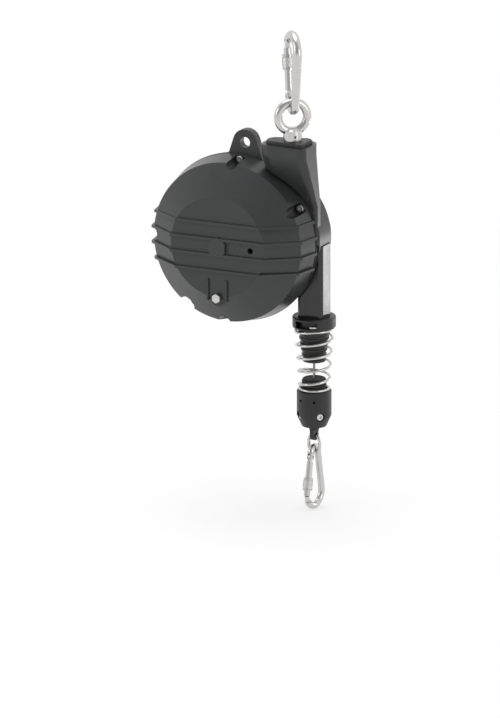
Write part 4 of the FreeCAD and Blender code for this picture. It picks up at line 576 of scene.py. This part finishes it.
# ---- Socket screws ----------------------------------------------------------
# M5 socket head screws: five hold the cover, deep in their pockets, and four in
# the clamp block grip the rope's ferrule. The tree sets one at each point.
def socket_screw():
    tree, size = new_recipe("socket_screw", Head=0.00425, Head_Long=0.005, Edge=0.0004, Socket=0.0023,
                            Socket_Deep=0.0025, Shank=0.0025, Shank_Long=0.020, Around=36)
    geometry = size["Geometry"]

    def ring(outer, inner, corners, z):
        outside = geometry.node("GeometryNodeCurvePrimitiveCircle", Resolution=size["Around"], Radius=outer)
        inside = geometry.node("GeometryNodeCurvePrimitiveCircle", Resolution=corners, Radius=inner)
        face = geometry.node("GeometryNodeFillCurve",
                             Curve=geometry.node("GeometryNodeJoinGeometry", Geometry=[outside, inside]))
        return geometry.node("GeometryNodeTransform", Geometry=face,
                             Translation=geometry.node("ShaderNodeCombineXYZ", i2=z))

    def wall(corners, top_r, low_r, z_low, long, fill="NONE"):
        cone = geometry.node("GeometryNodeMeshCone", {"fill_type": fill}, Vertices=corners,
                             Radius_Top=top_r, Radius_Bottom=low_r, Depth=long)
        return geometry.node("GeometryNodeTransform", Geometry=cone,
                             Translation=geometry.node("ShaderNodeCombineXYZ", i2=z_low))

    under = size["Head_Long"] * -1.0
    floor = size["Socket_Deep"] * -1.0
    hexagon = geometry.node("GeometryNodeMeshCircle", {"fill_type": "NGON"}, Vertices=6, Radius=size["Socket"])
    hexagon = geometry.node("GeometryNodeTransform", Geometry=hexagon,
                            Translation=geometry.node("ShaderNodeCombineXYZ", i2=floor))
    tip = geometry.node("GeometryNodeMeshCircle", {"fill_type": "NGON"}, Vertices=size["Around"],
                        Radius=size["Shank"])
    tip = geometry.node("GeometryNodeTransform", Geometry=tip,
                        Translation=geometry.node("ShaderNodeCombineXYZ", i2=under - size["Shank_Long"]))
    screw = geometry.node("GeometryNodeJoinGeometry", Geometry=[
        ring(size["Head"] - size["Edge"], size["Socket"], 6, 0.0),
        wall(size["Around"], size["Head"] - size["Edge"], size["Head"], size["Edge"] * -1.0, size["Edge"]),
        wall(size["Around"], size["Head"], size["Head"], under, size["Head_Long"] - size["Edge"]),
        wall(6, size["Socket"], size["Socket"], floor, size["Socket_Deep"]),
        hexagon,
        ring(size["Head"], size["Shank"], size["Around"], under),
        wall(size["Around"], size["Shank"], size["Shank"], under - size["Shank_Long"], size["Shank_Long"]),
        tip])
    screw = geometry.node("GeometryNodeMergeByDistance", Geometry=screw, Distance=0.00001)
    facing = geometry.node("GeometryNodeInputNamedAttribute", {"data_type": "FLOAT_VECTOR"}, Name="facing")
    turned = geometry.node("FunctionNodeAlignRotationToVector", {"axis": "Z"}, Vector=facing)
    screws = geometry.node("GeometryNodeInstanceOnPoints", Points=geometry, Instance=screw, Rotation=turned)
    end_recipe(screws, size["Finish"], 0.000001)
    return tree


def screw_seats(name, seats):
    """One point for each screw, at the middle of its head's face, and the way it looks."""
    mesh = bpy.data.meshes.new(name)
    mesh.from_pydata([place for place, facing in seats], [], [])
    looks = mesh.attributes.new("facing", "FLOAT_VECTOR", "POINT")
    for number, (place, facing) in enumerate(seats):
        looks.data[number].vector = facing
    return mesh


def middle_of(name):
    box_low, box_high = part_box(name)
    return (Vector(box_low) + Vector(box_high)) / 2


screw_tree = socket_screw()
cover_screw_circle = 0.096
cover_head_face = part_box("cover_screws")[0][1]
seats = []
for degrees in (28.0, 86.0, 180.0, 237.0, 268.0):
    angle = math.radians(degrees)
    seats.append((Vector((drum_axis.x + cover_screw_circle * math.cos(angle), cover_head_face,
                          drum_axis.z + cover_screw_circle * math.sin(angle))), Vector((0.0, -1.0, 0.0))))
finished(grown("cover_screws_finished", screw_tree, stainless, screw_seats("cover_screw_seats", seats)),
         "cover_screws", stainless)

rope_line = middle_of("clamp_block")
clamp_screw_height = middle_of("clamp_screws").z
clamp_head_face = 0.018
seats = []
for degrees in (-42.0, 48.0, 138.0, -132.0):
    away = Vector((math.cos(math.radians(degrees)), math.sin(math.radians(degrees)), 0.0))
    place = Vector((rope_line.x, rope_line.y, clamp_screw_height)) + away * clamp_head_face
    seats.append((place, away))
finished(grown("clamp_screws_finished", screw_tree, stainless, screw_seats("clamp_screw_seats", seats),
               Head=0.0042, Head_Long=0.003, Socket_Deep=0.002, Shank_Long=0.01228),
         "clamp_screws", stainless)


# ---- Nose rivets ------------------------------------------------------------
# A dark peened rivet through each hook's rod just above its nose, which the
# lock sleeve is screwed up to.
def nose_rivet(name, body, like, heading, upside_down, bow_r, rod_r, rivet_r, centre):
    dome_high, edge_sunk, skirt_deep = 0.00010, 0.00008, 0.0012
    steps = 20
    rings = [(rivet_r * 0.55, rod_r + dome_high), (rivet_r, rod_r - edge_sunk), (rivet_r, rod_r - skirt_deep)]
    rings += [(r, -out) for r, out in reversed(rings)]
    mesh = lofted(name, [[(r * math.cos(2 * math.pi * i / steps), out, r * math.sin(2 * math.pi * i / steps))
                          for i in range(steps)] for r, out in rings])
    angle = math.radians(147.0)
    flip = Matrix.Rotation(math.pi if upside_down else 0.0, 4, "X")
    spot = Matrix.Translation((bow_r * math.cos(angle), 0.0, bow_r * math.sin(angle)))
    mesh.transform(Matrix.Translation(centre) @ Matrix.Rotation(math.radians(heading), 4, "Z") @ flip @ spot)
    mesh.materials.append(blued_steel)
    piece = placed(name, mesh)
    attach(piece, body)


lower_hook_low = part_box("lower_hook_body")[0]
nose_rivet("top_nose_rivet", "top_hook", "spring_steel", rivet_r=0.0012, centre=(0.0, 0.0, 0.0),
           **top_hook_shape)
nose_rivet("lower_nose_rivet", "lower_hook", "spring_steel", rivet_r=0.0010,
           centre=(rope_line.x, rope_line.y, lower_hook_low[2] + 0.020), **lower_hook_shape)


# ---- Swivel bolt, bushes, arbor and preload gears ---------------------------
# Zinc plated steel turned and hobbed parts in the column and behind the cover,
# running in sintered bronze bushes.
zinc_plate = bright_metal("zinc_plate", grey(0.42, 0.01), (0.56, 0.56, 0.54, 1.0), 0.42, 0.28, 0.0, 260.0)
bronze = bright_metal("bronze", (0.42, 0.25, 0.11, 1.0), (0.55, 0.35, 0.17, 1.0), 0.45, 0.32, 0.0, 400.0)
dress(zinc_plate, "swivel_bolt", "bolt_washer", "arbor", "arbor_gear", "gear_key", "spring_core",
      "rope_ferrule")
dress(stainless, "adjuster_pinion")
dress(bronze, "thrust_washer", "front_bush", "rear_bush", "adjuster_bush", "drum_bushes")


# ---- Rope drum and mainspring case ------------------------------------------
# A bare cast aluminium drum on bronze bushes, with the plated steel case of the
# mainspring screwed to its web.
raw_alloy = bright_metal("raw_alloy", grey(0.50), grey(0.62), 0.48, 0.33, 0.2, 60.0)
dress(raw_alloy, "rope_drum")
dress(zinc_plate, "spring_case", "spring_lid", "case_screws")


# ---- Black mouldings --------------------------------------------------------
# Glass-filled nylon: the hanger plate, chute, collar, guide, clamp block and
# swivel stem. Near black, with a soft sheen and a fine moulded grain.
def moulded_nylon(name, shade, shine):
    material, shader, wire, place = new_finish(name)
    cloud = noise(wire, place, 60.0, 4.0)
    fibre = noise(wire, place, 900.0, 3.0, 0.7)
    colour = (cloud * 0.6 + fibre * 0.4).within(0.3, 0.7).mix(grey(shade * 0.8), grey(shade * 1.25))
    feed(wire, shader, Base_Color=colour, Roughness=cloud.within(0.3, 0.7, shine - 0.05, shine + 0.07))
    feed(wire, shader, Normal=wire.node("ShaderNodeBump", Height=fibre, Strength=0.10, Distance=0.0002))
    return material


black_nylon = moulded_nylon("black_nylon", 0.012, 0.42)
glossy_nylon = moulded_nylon("glossy_nylon", 0.022, 0.15)
softened("hanger_plate", black_nylon, 0.0004)
softened("rope_chute", glossy_nylon, 0.0004)
softened("guide_collar", black_nylon, 0.0003)
softened("guide_bush", black_nylon, 0.0002)
softened("clamp_block", black_nylon, 0.0003)
softened("swivel_stem", black_nylon, 0.0003)
softened("buffer_stub", rubber, 0.0002)
dress(stainless, "guide_clip")


# ---- Buffer spring ----------------------------------------------------------
# A conical stainless compression spring with a closed turn at each end, seated
# on the clamp block, which cushions the collar when the rope runs right in.
def coiled_wire():
    tree, size = new_recipe("buffer_spring", Low_Radius=0.0174, High_Radius=0.0222, Low=-0.4, High=-0.3,
                            Turns=4.57, Closed=0.786, Start=0.25, Wire_Radius=0.0016, Steps=300)
    geometry = size["Geometry"]
    points = geometry.node("GeometryNodeMeshLine", {"mode": "OFFSET"}, Count=size["Steps"])
    index = geometry.node("GeometryNodeInputIndex")
    along = geometry.maths("DIVIDE", index, size["Steps"] - 1.0)
    turn = along * (size["Turns"] + size["Closed"] * 2.0) - size["Closed"]
    share = geometry.maths("DIVIDE", turn, size["Turns"])
    share = geometry.maths("MINIMUM", geometry.maths("MAXIMUM", share, 0.0), 1.0)
    angle = (turn + size["Start"]) * (2.0 * math.pi)
    radius = size["Low_Radius"] + share * (size["High_Radius"] - size["Low_Radius"])
    height = size["Low"] + share * (size["High"] - size["Low"])
    place = geometry.node("ShaderNodeCombineXYZ", i0=geometry.maths("COSINE", angle) * radius,
                          i1=geometry.maths("SINE", angle) * radius, i2=height)
    points = geometry.node("GeometryNodeSetPosition", Geometry=points, Position=place)
    path = geometry.node("GeometryNodeMeshToCurve", Mesh=points)
    section = geometry.node("GeometryNodeCurvePrimitiveCircle", Resolution=14, Radius=size["Wire_Radius"])
    wire = geometry.node("GeometryNodeCurveToMesh", Curve=path, Profile_Curve=section, Fill_Caps=True)
    end_recipe(wire, size["Finish"], 0.000001)
    return tree


spring_low, spring_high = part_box("buffer_spring")
spring_wire_r = 0.0016
spring = grown("buffer_spring_wound", coiled_wire(), stainless, Low=spring_low[2] + spring_wire_r,
               High=spring_high[2] - spring_wire_r, Wire_Radius=spring_wire_r)
spring.data.transform(Matrix.Translation((rope_line.x, rope_line.y, 0.0)))
finished(spring, "buffer_spring", stainless)


# ---- Rope -------------------------------------------------------------------
# 3 mm stainless wire rope, six strands laid round a core. The wound turns lie on
# the drum; the straight part hangs down to the clamp block.
rope_steel = bright_metal("rope_steel", grey(0.26, 0.03), grey(0.42, 0.03), 0.45, 0.32, 0.0, 700.0)
dress(rope_steel, "rope_turns")


def laid_rope():
    tree, size = new_recipe("laid_rope", Strands=6, Strand_Radius=0.0005, Lay_Radius=0.001, Lay=0.021, Long=0.2)
    geometry = size["Geometry"]
    helix = geometry.node("GeometryNodeCurveSpiral", Resolution=16,
                          Rotations=geometry.maths("DIVIDE", size["Long"], size["Lay"]),
                          Start_Radius=size["Lay_Radius"], End_Radius=size["Lay_Radius"], Height=size["Long"])
    starts = geometry.node("GeometryNodeMeshLine", {"mode": "OFFSET"}, Count=size["Strands"],
                           Offset=(0.0, 0.0, 0.0))
    index = geometry.node("GeometryNodeInputIndex")
    turned = geometry.node("ShaderNodeCombineXYZ",
                           i2=geometry.maths("DIVIDE", index, size["Strands"]) * (2.0 * math.pi))
    strands = geometry.node("GeometryNodeInstanceOnPoints", Points=starts, Instance=helix, Rotation=turned)
    strands = geometry.node("GeometryNodeRealizeInstances", Geometry=strands)
    section = geometry.node("GeometryNodeCurvePrimitiveCircle", Resolution=7, Radius=size["Strand_Radius"])
    laid = geometry.node("GeometryNodeCurveToMesh", Curve=strands, Profile_Curve=section, Fill_Caps=True)
    middle = geometry.node("GeometryNodeMeshCylinder", Vertices=8, Side_Segments=60,
                           Radius=size["Strand_Radius"], Depth=size["Long"])
    middle = geometry.node("GeometryNodeTransform", Geometry=middle,
                           Translation=geometry.node("ShaderNodeCombineXYZ", i2=size["Long"] * 0.5))
    whole = geometry.node("GeometryNodeJoinGeometry", Geometry=[laid, middle])
    end_recipe(whole, size["Finish"], 0.000001)
    return tree


rope_low, rope_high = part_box("rope_hanging")
rope = grown("rope_laid", laid_rope(), rope_steel, Long=rope_high[2] - rope_low[2])
rope.data.transform(Matrix.Translation((rope_line.x, rope_line.y, rope_low[2])))
rope.data.materials.clear()
rope.data.materials.append(rope_steel)
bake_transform(rope)
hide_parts("rope_hanging")
